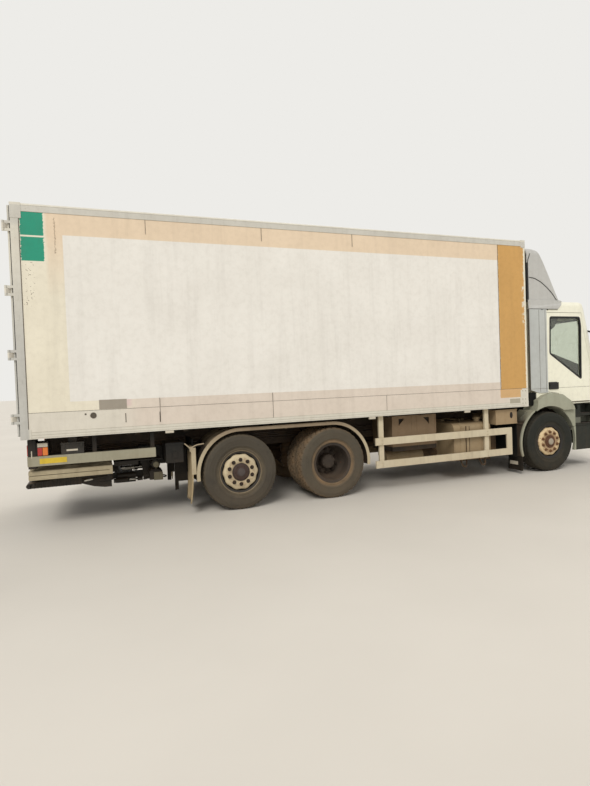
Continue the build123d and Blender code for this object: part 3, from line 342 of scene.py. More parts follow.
mesh = bmesh.new()
for z, radius in ((0.955, 0.011), (0.93, 0.009), (0.905, 0.012), (0.865, 0.008)):
    pipe(mesh, [(-7.7, -0.444, z), (-4.9, -0.446, z + 0.01), (-4.0, -0.446, z - 0.005),
                (-1.4, -0.445, z), (-0.75, -0.444, z + 0.01), (0.3, -0.444, z)], radius)
    pipe(mesh, [(-7.7, 0.444, z), (-4.9, 0.446, z + 0.01), (-4.0, 0.446, z - 0.005),
                (-1.4, 0.445, z), (0.3, 0.444, z)], radius)
air_lines = finish("air_line_nylon", (0.10, 0.10, 0.10), rough=0.45, dust=0.8, dust_top=1.4, grain=0.1)
piece("air_lines", mesh, air_lines, "chassis", smooth=True)


# Tyres.
# Radial tyres moulded in black rubber: five ribs on the steered and tag axles, cross-cut blocks on
# the twin drive wheels, and thin rings and cooling ridges on plain walls.
hands = (("right", -1), ("left", 1))
wheel_y = 1.1025
hub_z = 0.522
tag_x = -5.6
drive_x = -4.2
twin_gap = 0.330
tyre_radius = 0.5215
crown_fall = 0.4
tread_edges = (0.118, 0.086, 0.079, 0.074, 0.067, 0.036, 0.029, 0.024, 0.017, 0.0)
groove_edges = (0.079, 0.074, 0.029, 0.024)
rib_groove_depth, block_groove_depth = 0.012, 0.016
block_cut, rib_cut = 0.013, 0.006
shoulder_radius = 0.506
tread_steps = 216
wall = [(0.300, 0.1195), (0.306, 0.1225), (0.318, 0.1265), (0.330, 0.1240), (0.336, 0.1290),
        (0.360, 0.1385), (0.366, 0.1420), (0.372, 0.1405), (0.395, 0.1450), (0.420, 0.1473),
        (0.445, 0.1468), (0.450, 0.1480), (0.456, 0.1455), (0.476, 0.1425), (0.492, 0.1390),
        (0.502, 0.1345), (0.511, 0.1270)]


def turned(mesh, rings, spot, segments, wave=None, shut=False):
    """Rings of (radius, distance outward) turned about a wheel's axle line, on either side."""
    x, side, y, z = spot
    rows = []
    for number, (radius, out) in enumerate(rings):
        row = []
        for step in range(segments):
            angle = 2 * math.pi * step / segments
            r = radius + (wave(number, angle) if wave else 0.0)
            row.append(mesh.verts.new((x + r * math.cos(angle), side * (y + out), z + r * math.sin(angle))))
        rows.append(row)
    if shut:
        rows.append(rows[0])
    for inner, outer in zip(rows, rows[1:]):
        bridge(mesh, inner, outer)


def tyre_rings(blocks):
    """The tyre's section from bead to bead over the crown, and back along the inside."""
    depth = block_groove_depth if blocks else rib_groove_depth
    crown = [(tyre_radius - crown_fall * out ** 2 - (depth if out in groove_edges else 0.0), out)
             for out in tread_edges]
    half = wall + crown
    mirrored = [(radius, -out) for radius, out in reversed(half[:-1])]
    inside = [(0.305, -0.085), (0.44, -0.12), (0.490, -0.10), (0.498, 0.0), (0.490, 0.10), (0.44, 0.12),
              (0.305, 0.085)]
    return half + mirrored + inside


def tread_cut(rings, blocks):
    """How far each point of the crown dips for cross grooves, and the ridges by the shoulder."""
    def dip(number, angle):
        radius, out = rings[number]
        step = round(angle / (2 * math.pi) * tread_steps)
        row = 0 if abs(out) > 0.07 else 1 if abs(out) > 0.022 else 2
        if radius > shoulder_radius and blocks:
            return -block_cut if (step + 2 * row) % 6 == 0 else 0.0
        if radius > shoulder_radius:
            return -rib_cut if abs(out) > 0.084 and step % 4 == 0 else 0.0
        if radius > 0.49 and step % 4 == 0 and abs(out) > 0.12:
            return -0.003 if blocks else -0.0015
        return 0.0
    return dip


def opened(made):
    """A finish's nodes, laid open for one more layer of colour."""
    tree = made.node_tree
    shader = tree.nodes["Principled BSDF"]
    shown = shader.inputs["Base Color"].links[0].from_socket
    return tree, shader, shown, wire(tree, "ShaderNodeTexCoord").outputs["Object"]


def off_middle(tree, place):
    """How far a point lies from the truck's middle plane."""
    parts = wire(tree, "ShaderNodeSeparateXYZ", {0: place})
    return wire(tree, "ShaderNodeMath", {0: parts.outputs["Y"]}, operation="ABSOLUTE").outputs[0]


def from_axle(tree, place, x):
    """How far a point lies from a wheel's axle line."""
    away = wire(tree, "ShaderNodeVectorMath", {0: place, 1: (front_axle + x, 0.0, hub_z)},
                operation="SUBTRACT")
    flat = wire(tree, "ShaderNodeVectorMath", {0: away.outputs[0], 1: (1.0, 0.0, 1.0)},
                operation="MULTIPLY")
    return wire(tree, "ShaderNodeVectorMath", {0: flat.outputs[0]}, operation="LENGTH").outputs["Value"]


def rubber(name, colour, tread_colour, dusting, x, ring):
    """Sun-greyed rubber with dust in clouds, on the crown and in a ring by the bead."""
    made = finish(name, colour, rough=0.72, second=tuple(v * 1.2 for v in colour), dust=0.12, dust_top=0.5,
                  streaks=0.0, grain=0.25, grain_size=90.0, shine=0.25)
    tree, shader, tone, place = opened(made)
    cloud = patches(tree, place, 5.0, 0.25, 0.75)
    streaky = patches(tree, place, 2.2, 0.35, 0.7)
    crown = rise(tree, off_middle(tree, place), 1.243, 1.222)
    bead = rise(tree, from_axle(tree, place, x), 0.352, 0.322)
    for dusty in (both(tree, both(tree, cloud, streaky, "ADD"), dusting),
                  both(tree, crown, both(tree, cloud, 0.75)),
                  both(tree, bead, both(tree, cloud, ring))):
        tone = over(tree, dusty, tone, srgb(*tread_colour))
    tree.links.new(tone, shader.inputs["Base Color"])
    return made


rib_rubber = rubber("rib_tyre_rubber", (0.235, 0.222, 0.20), (0.42, 0.375, 0.30), 0.2, tag_x, 0.3)
front_rubber = rubber("front_tyre_rubber", (0.125, 0.135, 0.12), (0.25, 0.23, 0.19), 0.12, 0.0, 0.2)
block_rubber = rubber("block_tyre_rubber", (0.29, 0.272, 0.235), (0.56, 0.455, 0.335), 0.06, drive_x, 0.5)
for place, x, offsets, cover in (("front", 0.0, (0.0,), front_rubber), ("tag", tag_x, (0.0,), rib_rubber),
                                 ("drive", drive_x, (0.0, -twin_gap), block_rubber)):
    blocks = place == "drive"
    rings = tyre_rings(blocks)
    for side_name, side in hands:
        mesh = bmesh.new()
        for offset in offsets:
            turned(mesh, rings, (x, side, wheel_y + offset, hub_z), tread_steps, tread_cut(rings, blocks),
                   shut=True)
        node = f"{'tyres' if blocks else 'tyre'}_{place}_{side_name}"
        made = piece(f"{place}_tread_{side_name}", mesh, cover, f"wheel_{place}_{side_name}",
                     sharp=38)
        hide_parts(node)


# Wheels.
# Ten-stud pressed steel discs, welded in rolled rims: a bulged disc with a scalloped edge on single
# wheels, and two deep dishes back to back on the drive axle. Cream paint, rusting at the studs.
rim = [(0.262, -0.116), (0.299, -0.1185), (0.301, -0.112), (0.299, -0.106), (0.287, -0.103),
       (0.2865, -0.072), (0.266, -0.050), (0.266, 0.050), (0.2865, 0.072), (0.287, 0.103),
       (0.299, 0.106), (0.3015, 0.113), (0.2985, 0.119), (0.294, 0.1175), (0.276, 0.110), (0.262, 0.108),
       (0.258, 0.090), (0.252, 0.050), (0.252, -0.050), (0.258, -0.096)]
bulged_disc = [(0.060, 0.100), (0.062, 0.1195), (0.080, 0.1225), (0.112, 0.1230), (0.116, 0.1255),
               (0.190, 0.1255), (0.200, 0.1235), (0.214, 0.1165), (0.226, 0.1050), (0.231, 0.0930),
               (0.229, 0.0700), (0.226, 0.0400), (0.240, 0.020), (0.2535, 0.010), (0.2535, 0.002),
               (0.236, 0.010), (0.216, 0.036), (0.216, 0.088), (0.200, 0.108), (0.120, 0.1100),
               (0.060, 0.100)]
deep_dish = [(0.105, -0.163), (0.110, -0.146), (0.150, -0.143), (0.192, -0.145), (0.200, -0.149),
             (0.224, -0.120), (0.236, -0.080), (0.246, -0.040), (0.2535, -0.022), (0.2535, -0.030),
             (0.240, -0.060), (0.222, -0.112), (0.196, -0.158), (0.105, -0.163)]


def scallops(rings):
    """Ten hollows round the disc's edge, where the hand holes are cut."""
    def wave(number, angle):
        radius, out = rings[number]
        if 0.206 < radius < 0.24 and out > 0.03:
            return 0.0165 + 0.0065 * math.cos(10 * angle)
        return 0.0
    return wave


stud_circle = 0.1675
stud_count = 10
nut_steps = ((0.0, 0.006, 1.5, 1.35, 16), (0.006, 0.026, 1.0, 0.97, 6), (0.026, 0.036, 0.62, 0.56, 10))


def stud_ring(mesh, spot, out, nut):
    """Wheel nuts with their flared seats and stud ends."""
    x, side, y, z = spot
    for step in range(stud_count):
        angle = 2 * math.pi * (step + 0.5) / stud_count
        base = seat((x + stud_circle * math.cos(angle), side * (y + out), z + stud_circle * math.sin(angle)),
                    (0, side, 0))
        for low, high, wide, tight, sides in nut_steps:
            cone(mesh, base, low, high, nut * wide, nut * tight, sides)


def cap_bolts(mesh, spot, out, reach, count, radius, height):
    """A ring of small bolts on the face of a hub."""
    x, side, y, z = spot
    for step in range(count):
        angle = 2 * math.pi * step / count
        bolt(mesh, (x + reach * math.cos(angle), side * (y + out), z + reach * math.sin(angle)),
             (0, side, 0), radius, height)


def wheel_paint(name, colour, chips, dust, deep, x, rust=0.0, recess_y=(1.205, 1.185)):
    """Cream wheel enamel with rust round the studs, and road dirt with painted shade in the recess."""
    made = finish(name, colour, rough=0.55, second=tuple(v * 0.85 for v in colour), dust=dust,
                  dust_top=0.9, streaks=0.12, chips=chips, chip_colour=(0.36, 0.20, 0.11), grain=0.3)
    tree, shader, tone, place = opened(made)
    # Road dirt and painted shade darken the disc and barrel deep inside the wheel.
    recess_dirt_and_shade = both(tree, rise(tree, off_middle(tree, place), *recess_y), deep)
    reach = from_axle(tree, place, x)
    flange = rise(tree, reach, 0.155, 0.115)
    studs = both(tree, both(tree, rise(tree, reach, 0.135, 0.150), rise(tree, reach, 0.215, 0.190)),
                 patches(tree, place, 20.0, 0.40, 0.60))
    edge = both(tree, rise(tree, reach, 0.225, 0.250), patches(tree, place, 30.0, 0.45, 0.62))
    stain = both(tree, both(tree, both(tree, flange, studs, "ADD"), edge, "ADD"), rust)
    tone = over(tree, stain, tone, srgb(0.45, 0.30, 0.19))
    tone = over(tree, recess_dirt_and_shade, tone, srgb(0.10, 0.09, 0.08))
    tree.links.new(tone, shader.inputs["Base Color"])
    return made


front_cream = wheel_paint("front_wheel_enamel", (0.86, 0.765, 0.60), 0.5, 0.1, 0.9, 0.0, 0.85)
tag_cream = wheel_paint("tag_wheel_enamel", (0.80, 0.74, 0.61), 0.4, 0.15, 0.95, tag_x, 0.45)
# The front rim is dark all over: road grime, and painted shade on the barrel behind the disc.
front_rim_dirt_and_shade = wheel_paint("front_rim_grime_and_shade", (0.15, 0.14, 0.12), 0.3, 0.1, 0.9, 0.0, 0.0, (1.225, 1.222))
tag_rim = wheel_paint("tag_rim_enamel", (0.52, 0.47, 0.37), 0.6, 0.2, 0.95, tag_x, 0.3, (1.2195, 1.2165))
dish_grime = finish("drive_wheel_grime", (0.17, 0.15, 0.135), rough=0.75, second=(0.24, 0.20, 0.16), dust=0.2,
                    dust_top=0.9, streaks=0.0, chips=0.35, grain=0.4)
nut_iron = finish("wheel_nut_iron", (0.15, 0.11, 0.085), rough=0.6, metal=0.2, dust=0.1, chips=0.5, grain=0.3)
rusty_nuts = finish("rusty_nut_iron", (0.47, 0.34, 0.22), rough=0.75, second=(0.36, 0.23, 0.14), dust=0.2,
                    chips=0.6, grain=0.4)


def hub_cap(name, x, centre, ring):
    """Turned cap: rubbed metal in the middle, grease and rust round it."""
    made = finish(name, ring, rough=0.55, metal=0.15, dust=0.1, chips=0.5, grain=0.3)
    tree, shader, tone, place = opened(made)
    reach = from_axle(tree, place, x)
    tone = over(tree, rise(tree, reach, 0.060, 0.052), tone, srgb(*centre))
    tone = over(tree, both(tree, rise(tree, reach, 0.104, 0.112), 0.6), tone, srgb(0.14, 0.11, 0.09))
    tree.links.new(tone, shader.inputs["Base Color"])
    return made


def single_hub(wide):
    """The section of a single wheel's hub, with the width of its flange."""
    return [(0.214, -0.03), (0.214, 0.075), (0.130, 0.085), (0.075, 0.10), (wide - 0.002, 0.1235),
            (wide, 0.131), (wide - 0.012, 0.137), (0.078, 0.138), (0.074, 0.146), (0.066, 0.149),
            (0.060, 0.148), (0.052, 0.150), (0.047, 0.158), (0.030, 0.1592), (0.0, 0.1595)]


twin_hub = [(0.214, -0.40), (0.214, -0.24), (0.120, -0.20), (0.118, -0.150), (0.120, -0.128),
            (0.112, -0.110), (0.108, -0.052), (0.098, -0.036), (0.060, -0.030), (0.0, -0.029)]
front_hub = hub_cap("front_hub_cap", 0.0, (0.64, 0.60, 0.53), (0.36, 0.23, 0.15))
tag_hub = hub_cap("tag_hub_cap", tag_x, (0.30, 0.265, 0.255), (0.235, 0.17, 0.155))
for side_name, side in hands:
    for place, x, enamel, rim_paint, hub_paint, nuts, wide in (
            ("front", 0.0, front_cream, front_rim_dirt_and_shade, front_hub, rusty_nuts, 0.106),
            ("tag", tag_x, tag_cream, tag_rim, tag_hub, nut_iron, 0.124)):
        body = f"wheel_{place}_{side_name}"
        spot = (x, side, wheel_y, hub_z)
        mesh = bmesh.new()
        turned(mesh, rim, spot, 96, shut=True)
        piece(f"{place}_rim_{side_name}", mesh, rim_paint, body, sharp=50)
        mesh = bmesh.new()
        turned(mesh, bulged_disc, spot, 120, scallops(bulged_disc))
        made = piece(f"{place}_disc_{side_name}", mesh, enamel, body, sharp=50)
        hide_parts(f"wheel_{place}_{side_name}")
        mesh = bmesh.new()
        stud_ring(mesh, spot, 0.1255, 0.019)
        piece(f"{place}_nuts_{side_name}", mesh, nuts, body)
        mesh = bmesh.new()
        turned(mesh, single_hub(wide), spot, 48)
        cap_bolts(mesh, spot, 0.137, 0.090, 6, 0.008, 0.007)
        piece(f"{place}_hub_{side_name}", mesh, hub_paint, body, sharp=35)
    body = f"wheel_drive_{side_name}"
    spot = (drive_x, side, wheel_y, hub_z)
    mesh = bmesh.new()
    turned(mesh, rim, spot, 96, shut=True)
    turned(mesh, rim, (drive_x, side, wheel_y - twin_gap, hub_z), 96, shut=True)
    turned(mesh, deep_dish, spot, 96)
    turned(mesh, [(radius, -twin_gap - out) for radius, out in deep_dish], spot, 96)
    made = piece(f"drive_dish_{side_name}", mesh, dish_grime, body, sharp=50)
    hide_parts(f"wheel_drive_{side_name}")
    mesh = bmesh.new()
    stud_ring(mesh, spot, -0.143, 0.021)
    piece(f"drive_nuts_{side_name}", mesh, nut_iron, body)
    mesh = bmesh.new()
    turned(mesh, twin_hub, spot, 48)
    cap_bolts(mesh, spot, -0.033, 0.082, 8, 0.010, 0.009)
    piece(f"drive_hub_{side_name}", mesh, dish_grime, body, sharp=35)


# Insulated box: walls, roof, floor and edge rails.
# Glass-fibre sandwich panels glued in extruded aluminium edges. Cream film with a peach band along
# the top, a tan panel at the front whose edge flakes, and a whiter film over the middle.
def box_livery(tree, place, parts):
    """The colour fields of the side, edges softened and flaked."""
    x = parts.outputs["X"]
    z = parts.outputs["Z"]
    wobble = wire(tree, "ShaderNodeTexNoise", {"Vector": place, "Scale": 38.0, "Detail": 8.0,
                                               "Roughness": 0.75}).outputs[0]
    nudge = wire(tree, "ShaderNodeMath", {0: wobble, 1: -0.5}, operation="ADD").outputs[0]
    flaked_x = wire(tree, "ShaderNodeMath", {0: nudge, 1: 0.07, 2: x}, operation="MULTIPLY_ADD").outputs[0]
    outer = rise(tree, off_middle(tree, place), 1.28, 1.285)

    def field(low_x, high_x, low_z, high_z, soft=0.004, across=x):
        left = rise(tree, across, low_x, low_x + soft)
        right = rise(tree, across, high_x + soft, high_x)
        foot = rise(tree, z, low_z, low_z + soft)
        head = rise(tree, z, high_z + soft, high_z)
        return both(tree, both(tree, both(tree, left, right), both(tree, foot, head)), outer)

    peach = srgb(0.905, 0.825, 0.72)
    kick_panel = field(-4.75, 2.96, 1.0, 1.48)
    warm_haze = field(-3.70, 2.40, 1.0, 1.62, 0.30)
    pink_haze = field(-3.68, -3.55, 1.485, 1.61, 0.05)
    peach_band = field(-4.45, 2.4, 3.56, 3.90, 0.08)
    peach_column = both(tree, field(-4.45, -4.20, 2.6, 3.9, 0.05), rise(tree, z, 2.85, 3.65))
    white_film = field(-4.245, 2.375, 1.60, 3.625, 0.003)
    grey_label = field(-3.915, -3.585, 1.485, 1.605, 0.004)
    front_field = field(2.375, 2.912, 1.48, 3.90, 0.004, flaked_x)
    worn_edge = both(tree, field(2.855, 2.96, 2.40, 3.60, 0.03, flaked_x),
                     patches(tree, place, 8.0, 0.50, 0.55))
    front_kick_field = field(2.355, 2.815, 1.335, 1.478, 0.006, flaked_x)
    brown_line = both(tree, field(-4.335, -4.325, 3.40, 3.83, 0.004, flaked_x), 0.6)
    green_squares = both(tree, field(-4.705, -4.455, 3.30, 3.585, 0.004, flaked_x),
                         field(-4.705, -4.455, 3.605, 3.885, 0.004, flaked_x), "ADD")
    specks = both(tree, field(-4.72, -4.60, 2.70, 3.29, 0.05), patches(tree, place, 55.0, 0.62, 0.66))
    tone = srgb(0.92, 0.895, 0.82)
    for amount, paint in ((kick_panel, srgb(0.87, 0.85, 0.80)), (warm_haze, srgb(0.87, 0.825, 0.775)),
                          (pink_haze, srgb(0.87, 0.79, 0.765)), (peach_band, peach), (peach_column, peach),
                          (white_film, srgb(0.925, 0.915, 0.89)), (grey_label, srgb(0.62, 0.59, 0.54)),
                          (front_field, srgb(0.80, 0.62, 0.35)), (worn_edge, srgb(0.88, 0.865, 0.80)),
                          (front_kick_field, srgb(0.83, 0.675, 0.47)), (brown_line, srgb(0.45, 0.36, 0.26)),
                          (green_squares, srgb(0.05, 0.575, 0.46)), (specks, srgb(0.42, 0.36, 0.28))):
        tone = over(tree, amount, tone, paint)
    return tone


box_film = finish("box_side_film", (0.89, 0.865, 0.80), rough=0.42, second=(0.88, 0.85, 0.78), dust=0.18,
                  dust_top=1.9, streaks=0.10, chips=0.06, chip_colour=(0.35, 0.27, 0.20), grain=0.05,
                  grain_size=14.0, gloss=0.12, livery=box_livery)
box_white = finish("box_panel_white", (0.86, 0.84, 0.79), rough=0.45, second=(0.80, 0.77, 0.71), dust=0.25,
                   dust_top=2.0, streaks=0.25, chips=0.04, grain=0.08, gloss=0.1)


def edge_livery(tree, place, parts):
    """Pale along the bottom and the roof edge, greyer under the roof edge and down the rear posts."""
    z = parts.outputs["Z"]
    under = both(tree, rise(tree, z, 3.70, 3.75), rise(tree, z, 3.958, 3.956))
    tone = over(tree, under, srgb(0.855, 0.84, 0.79), srgb(0.80, 0.79, 0.755))
    post = both(tree, rise(tree, parts.outputs["X"], -4.70, -4.72), rise(tree, z, 3.4, 2.3))
    return over(tree, both(tree, post, 0.8), tone, srgb(0.735, 0.735, 0.72))


box_alloy = finish("box_edge_alloy", (0.80, 0.785, 0.74), rough=0.5, metal=0.1, second=(0.78, 0.76, 0.71),
                   dust=0.2, dust_top=1.5, streaks=0.12, chips=0.12, chip_colour=(0.45, 0.40, 0.34),
                   grain=0.1, livery=edge_livery)
floor_alloy = finish("box_floor_alloy", (0.62, 0.60, 0.56), rough=0.55, metal=0.5, dust=0.35, dust_top=1.6,
                     chips=0.1, grain=0.2)
dress(box_film, "box_side_walls")
dress(box_white, "box_front_wall", "box_roof", "rear_door_right", "rear_door_left")
dress(box_alloy, "box_edge_rails", "rear_frame")
dress(floor_alloy, "box_floor")


# Seams, rivets and corner castings of the box.
# Dark sealant in the panel joints, a dark line of painted shadow along the top edge of the kick panel,
# a rivet every 300 mm in both rails, and cast corners at the roof and the floor. Blank plates and small
# lamps are screwed to the rails and the roof's ends.
box_side_y = 1.300
box_rear_x = -8.2
box_front_x = -0.536
rivet_pitch = 0.30
rivet_head = [(0.005, 0.0), (0.0045, 0.0015), (0.0025, 0.0025), (0.0, 0.00275)]
# Dark sealant for the joints. The same dark finish also paints shade lines: along the kick panel's top, in
# the door creases and at the fairing's rear edge.
sealant_and_shade_lines = finish("joint_sealant_and_painted_shade", (0.36, 0.33, 0.29), rough=0.8, dust=0.2, streaks=0.1, grain=0.3)
pale_sealant = finish("rail_sealant", (0.68, 0.655, 0.59), rough=0.75, dust=0.2, streaks=0.1, grain=0.2)


def plate(mesh, x0, x1, y0, y1, z0, z1):
    """A rectangular length of stock between two corners."""
    spot = Matrix.Translation(((x0 + x1) / 2, (y0 + y1) / 2, (z0 + z1) / 2))
    size = Matrix.Diagonal((abs(x1 - x0), abs(y1 - y0), abs(z1 - z0), 1.0))
    bmesh.ops.create_cube(mesh, size=1.0, matrix=spot @ size)


def pair(mesh, *lengths):
    """Lengths of stock (x0, x1, y0, y1, z0, z1) on both sides of the truck, y measured outward."""
    for side in (-1, 1):
        for x0, x1, y0, y1, z0, z1 in lengths:
            plate(mesh, x0, x1, side * y0, side * y1, z0, z1)


def spun(mesh, base, way, rings, sides=24):
    """Rings of (radius, distance along the axis), closed to a point where a radius is 0."""
    way = Vector(way).normalized()
    side = way.orthogonal().normalized()
    rest = way.cross(side)
    rows = []
    for radius, far in rings:
        centre = Vector(base) + way * far
        if radius < 1e-6:
            rows.append([mesh.verts.new(centre)])
            continue
        rows.append(circle(mesh, centre, radius, side, rest, sides))
    for low, high in zip(rows, rows[1:]):
        if len(low) == len(high):
            bridge(mesh, low, high)
            continue
        for step in range(sides):
            after = (step + 1) % sides
            if len(low) == 1:
                mesh.faces.new((low[0], high[step], high[after]))
            else:
                mesh.faces.new((low[step], low[after], high[0]))


def spun_pair(mesh, base, way, rings, sides=24):
    """The same turned part on both sides of the truck."""
    for side in (-1, 1):
        spun(mesh, (base[0], side * base[1], base[2]), (way[0], side * way[1], way[2]), rings, sides)


mesh = bmesh.new()
pale = bmesh.new()
# The dark line at 1.4825 m is painted shadow along the top edge of the kick panel. The other lines are pale
# rail sealant.
for z, into in ((1.4825, mesh), (1.2515, pale), (3.8835, pale), (1.216, pale), (1.186, pale), (3.957, pale)):
    pair(into, (box_rear_x, box_front_x, 1.2965, 1.3006, z - 0.0018, z + 0.0018))
for x, z0, z1, wide in ((-5.12, 1.252, 1.60, 0.0024), (-6.66, 1.29, 1.60, 0.0022),
                        (-6.664, 1.29, 1.42, 0.006), (-7.088, 1.31, 1.425, 0.0045),
                        (-3.3, 1.252, 1.48, 0.0015), (-1.115, 1.485, 3.883, 0.0018),
                        (-6.75, 3.70, 3.883, 0.0018), (-5.2, 3.70, 3.883, 0.0018),
                        (-3.8, 3.70, 3.883, 0.0018)):
    pair(mesh, (x - wide, x + wide, 1.2965, 1.3034, z0, z1))
pair(mesh, (box_rear_x - 0.002, box_rear_x + 0.006, 1.2965, 1.3012, 1.17, 3.98))
spun_pair(mesh, (-7.47, box_side_y, 1.418), (0, 1, 0),
          [(0.038, 0.0), (0.036, 0.006), (0.024, 0.008), (0.022, 0.003), (0.0, 0.003)], 24)
spun_pair(mesh, (-7.56, box_side_y, 1.438), (0, 1, 0), [(0.012, 0.0), (0.010, 0.004), (0.0, 0.005)], 12)
piece("box_joints_and_shadow_line", mesh, sealant_and_shade_lines, "chassis")
piece("rail_lines", pale, pale_sealant, "chassis")

mesh = bmesh.new()
for step in range(26):
    for z in (1.201, 3.92):
        spun_pair(mesh, (-8.12 + step * rivet_pitch, box_side_y, z), (0, 1, 0), rivet_head, 8)
for step in range(10):
    spun_pair(mesh, (-8.245, box_side_y, 1.25 + step * 0.29), (0, 1, 0), rivet_head, 8)
for z in (2.86, 2.62, 1.86, 1.60):
    pair(mesh, (-8.262, -8.240, 1.298, 1.3025, z - 0.03, z + 0.03))
piece("box_rivets", mesh, box_alloy, "chassis")

mesh = bmesh.new()
pair(mesh, (-8.292, -8.17, 1.22, 1.3035, 3.80, 3.9875), (-0.62, -0.533, 1.22, 1.3035, 3.86, 3.9875),
     (-8.292, -8.17, 1.22, 1.3035, 1.168, 1.29), (-0.62, -0.533, 1.22, 1.3035, 1.168, 1.27),
     (-0.70, -0.555, 1.29, 1.3045, 1.20, 1.455), (-0.68, -0.575, 1.30, 1.3065, 1.36, 1.42))
piece("corner_castings", mesh, box_alloy, "chassis", bevel=0.006)
mesh = bmesh.new()
pair(mesh, (-0.93, -0.715, 1.2975, 1.3035, 1.24, 1.315))
bolts(mesh, (-0.66, -0.60), 1.3045, (1.23, 1.30, 1.44), 0.008, 0.004)
piece("blank_side_plates", mesh, pale_sealant, "chassis", bevel=0.001)

amber = finish("amber_lens", (0.90, 0.48, 0.12), rough=0.2, dust=0.25, streaks=0.1, grain=0.03, gloss=0.6)
pale_lens = finish("pale_lens", (0.80, 0.77, 0.70), rough=0.25, dust=0.3, streaks=0.1, grain=0.03, gloss=0.5)
mesh = bmesh.new()
for x in (-6.55, -3.55, -1.80):
    pair(mesh, (x - 0.055, x + 0.055, 1.262, 1.298, 1.132, 1.168))
piece("side_marker_lamps", mesh, pale_lens, "chassis", bevel=0.008)
mesh = bmesh.new()
pair(mesh, (-0.56, -0.522, 1.10, 1.22, 3.93, 3.965), (-8.306, -8.288, 1.08, 1.20, 3.955, 3.985))
piece("roof_marker_lamps", mesh, amber, "chassis", bevel=0.006)


# Rear doors.
# Insulated leaves with rubber gaskets, strap hinges, and two zinc lock rods a leaf that turn in
# bolted guides and end in cams on the frame.
door_rubber = finish("gasket_rubber", (0.10, 0.10, 0.10), rough=0.7, dust=0.35, streaks=0.1, grain=0.2)
zinc = finish("zinc_plate", (0.66, 0.65, 0.61), rough=0.42, metal=0.65, second=(0.55, 0.52, 0.47), dust=0.3,
              dust_top=2.4, streaks=0.25, chips=0.3, chip_colour=(0.42, 0.25, 0.15), grain=0.1)
dress(zinc, "lock_rods_right", "lock_rods_left")
door_back = -8.318
leaf_foot = 1.212
leaf_height = 2.738
rod_places = (0.33, 0.90)
for side_name, side in hands:
    body = f"rear_door_{side_name}"
    mesh = bmesh.new()
    edging = bmesh.new()
    for y0, y1, z0, z1 in ((1.266, 1.274, 1.216, 3.946), (0.008, 0.016, 1.216, 3.946),
                           (0.012, 1.27, 1.2085, 1.2165), (0.012, 1.27, 3.9455, 3.953)):
        plate(mesh, door_back + 0.017, door_back + 0.0275, side * y0, side * y1, z0, z1)
        plate(edging, door_back - 0.003, door_back + 0.017, side * y0, side * (y1 + 0.002), z0, z1)
    piece(f"door_gasket_{side_name}", mesh, door_rubber, body, bevel=0.002)
    piece(f"door_edging_{side_name}", edging, box_alloy, body, bevel=0.002)
    mesh = bmesh.new()
    for share in (0.076, 0.354, 0.632, 0.91):
        z = leaf_foot + share * leaf_height
        for y in (1.13, 1.17, 1.21):
            bolt(mesh, (door_back - 0.010, side * y, z), (-1, 0, 0), 0.009, 0.007)
    for y in rod_places:
        for share in (0.032, 0.25, 0.525, 0.8, 0.967):
            z = leaf_foot + share * leaf_height
            for ear_y in (y - 0.042, y + 0.042):
                plate(mesh, door_back - 0.004, door_back + 0.001, side * (ear_y - 0.02),
                      side * (ear_y + 0.02), z - 0.028, z + 0.028)
                bolt(mesh, (door_back - 0.004, side * ear_y, z), (-1, 0, 0), 0.006, 0.005)
        for z in (1.226, 3.936):
            plate(mesh, door_back - 0.036, door_back - 0.004, side * (y - 0.035), side * (y + 0.035),
                  z - 0.012, z + 0.012)
    piece(f"door_fasteners_{side_name}", mesh, zinc, body, bevel=0.0015)
    mesh = bmesh.new()
    for y in rod_places:
        pipe(mesh, [(door_back - 0.026, side * (y - 0.262), 2.002),
                    (door_back - 0.026, side * (y - 0.14), 2.002)], 0.013, 10)
    piece(f"door_grips_{side_name}", mesh, door_rubber, body, smooth=True)
mesh = bmesh.new()
for z0, z1 in ((3.950, 3.956), (1.200, 1.206)):
    plate(mesh, -8.292, -8.2885, -1.24, 1.24, z0, z1)
for y in rod_places:
    for z in (1.185, 3.965):
        pair(mesh, (-8.318, -8.289, y - 0.03, y + 0.03, z - 0.012, z + 0.012))
piece("cam_keepers", mesh, zinc, "chassis", bevel=0.002)


# Cooling unit.
# White steel case bolted to the front wall, with a louvred condenser, side doors, and insulated
# pipes down to the box.
unit_white = finish("unit_enamel", (0.84, 0.84, 0.82), rough=0.4, second=(0.78, 0.77, 0.74), dust=0.3,
                    dust_top=4.5, streaks=0.3, chips=0.08, grain=0.06, gloss=0.2)
dress(unit_white, "fridge_unit")
mesh = bmesh.new()
pair(mesh, (-0.50, -0.20, 0.949, 0.954, 3.16, 3.74), (-0.23, -0.205, 0.952, 0.962, 3.20, 3.24),
     (-0.23, -0.205, 0.952, 0.962, 3.66, 3.70))
plate(mesh, -0.46, -0.20, -0.75, 0.75, 3.798, 3.812)
piece("unit_side_doors", mesh, unit_white, "chassis", bevel=0.004)
fin_pitch = 0.0307
mesh = bmesh.new()
for step in range(46):
    y = -0.69 + step * fin_pitch
    plate(mesh, -0.176, -0.172, y - 0.002, y + 0.002, 3.335, 3.715)
pipe(mesh, [(-0.40, 0.60, 3.12), (-0.40, 0.60, 3.02), (-0.52, 0.60, 2.95), (-0.527, 0.60, 2.4)], 0.016)
pipe(mesh, [(-0.36, 0.66, 3.12), (-0.36, 0.66, 3.00), (-0.52, 0.66, 2.93), (-0.527, 0.66, 2.4)], 0.012)
piece("unit_condenser", mesh, chassis_black, "chassis")


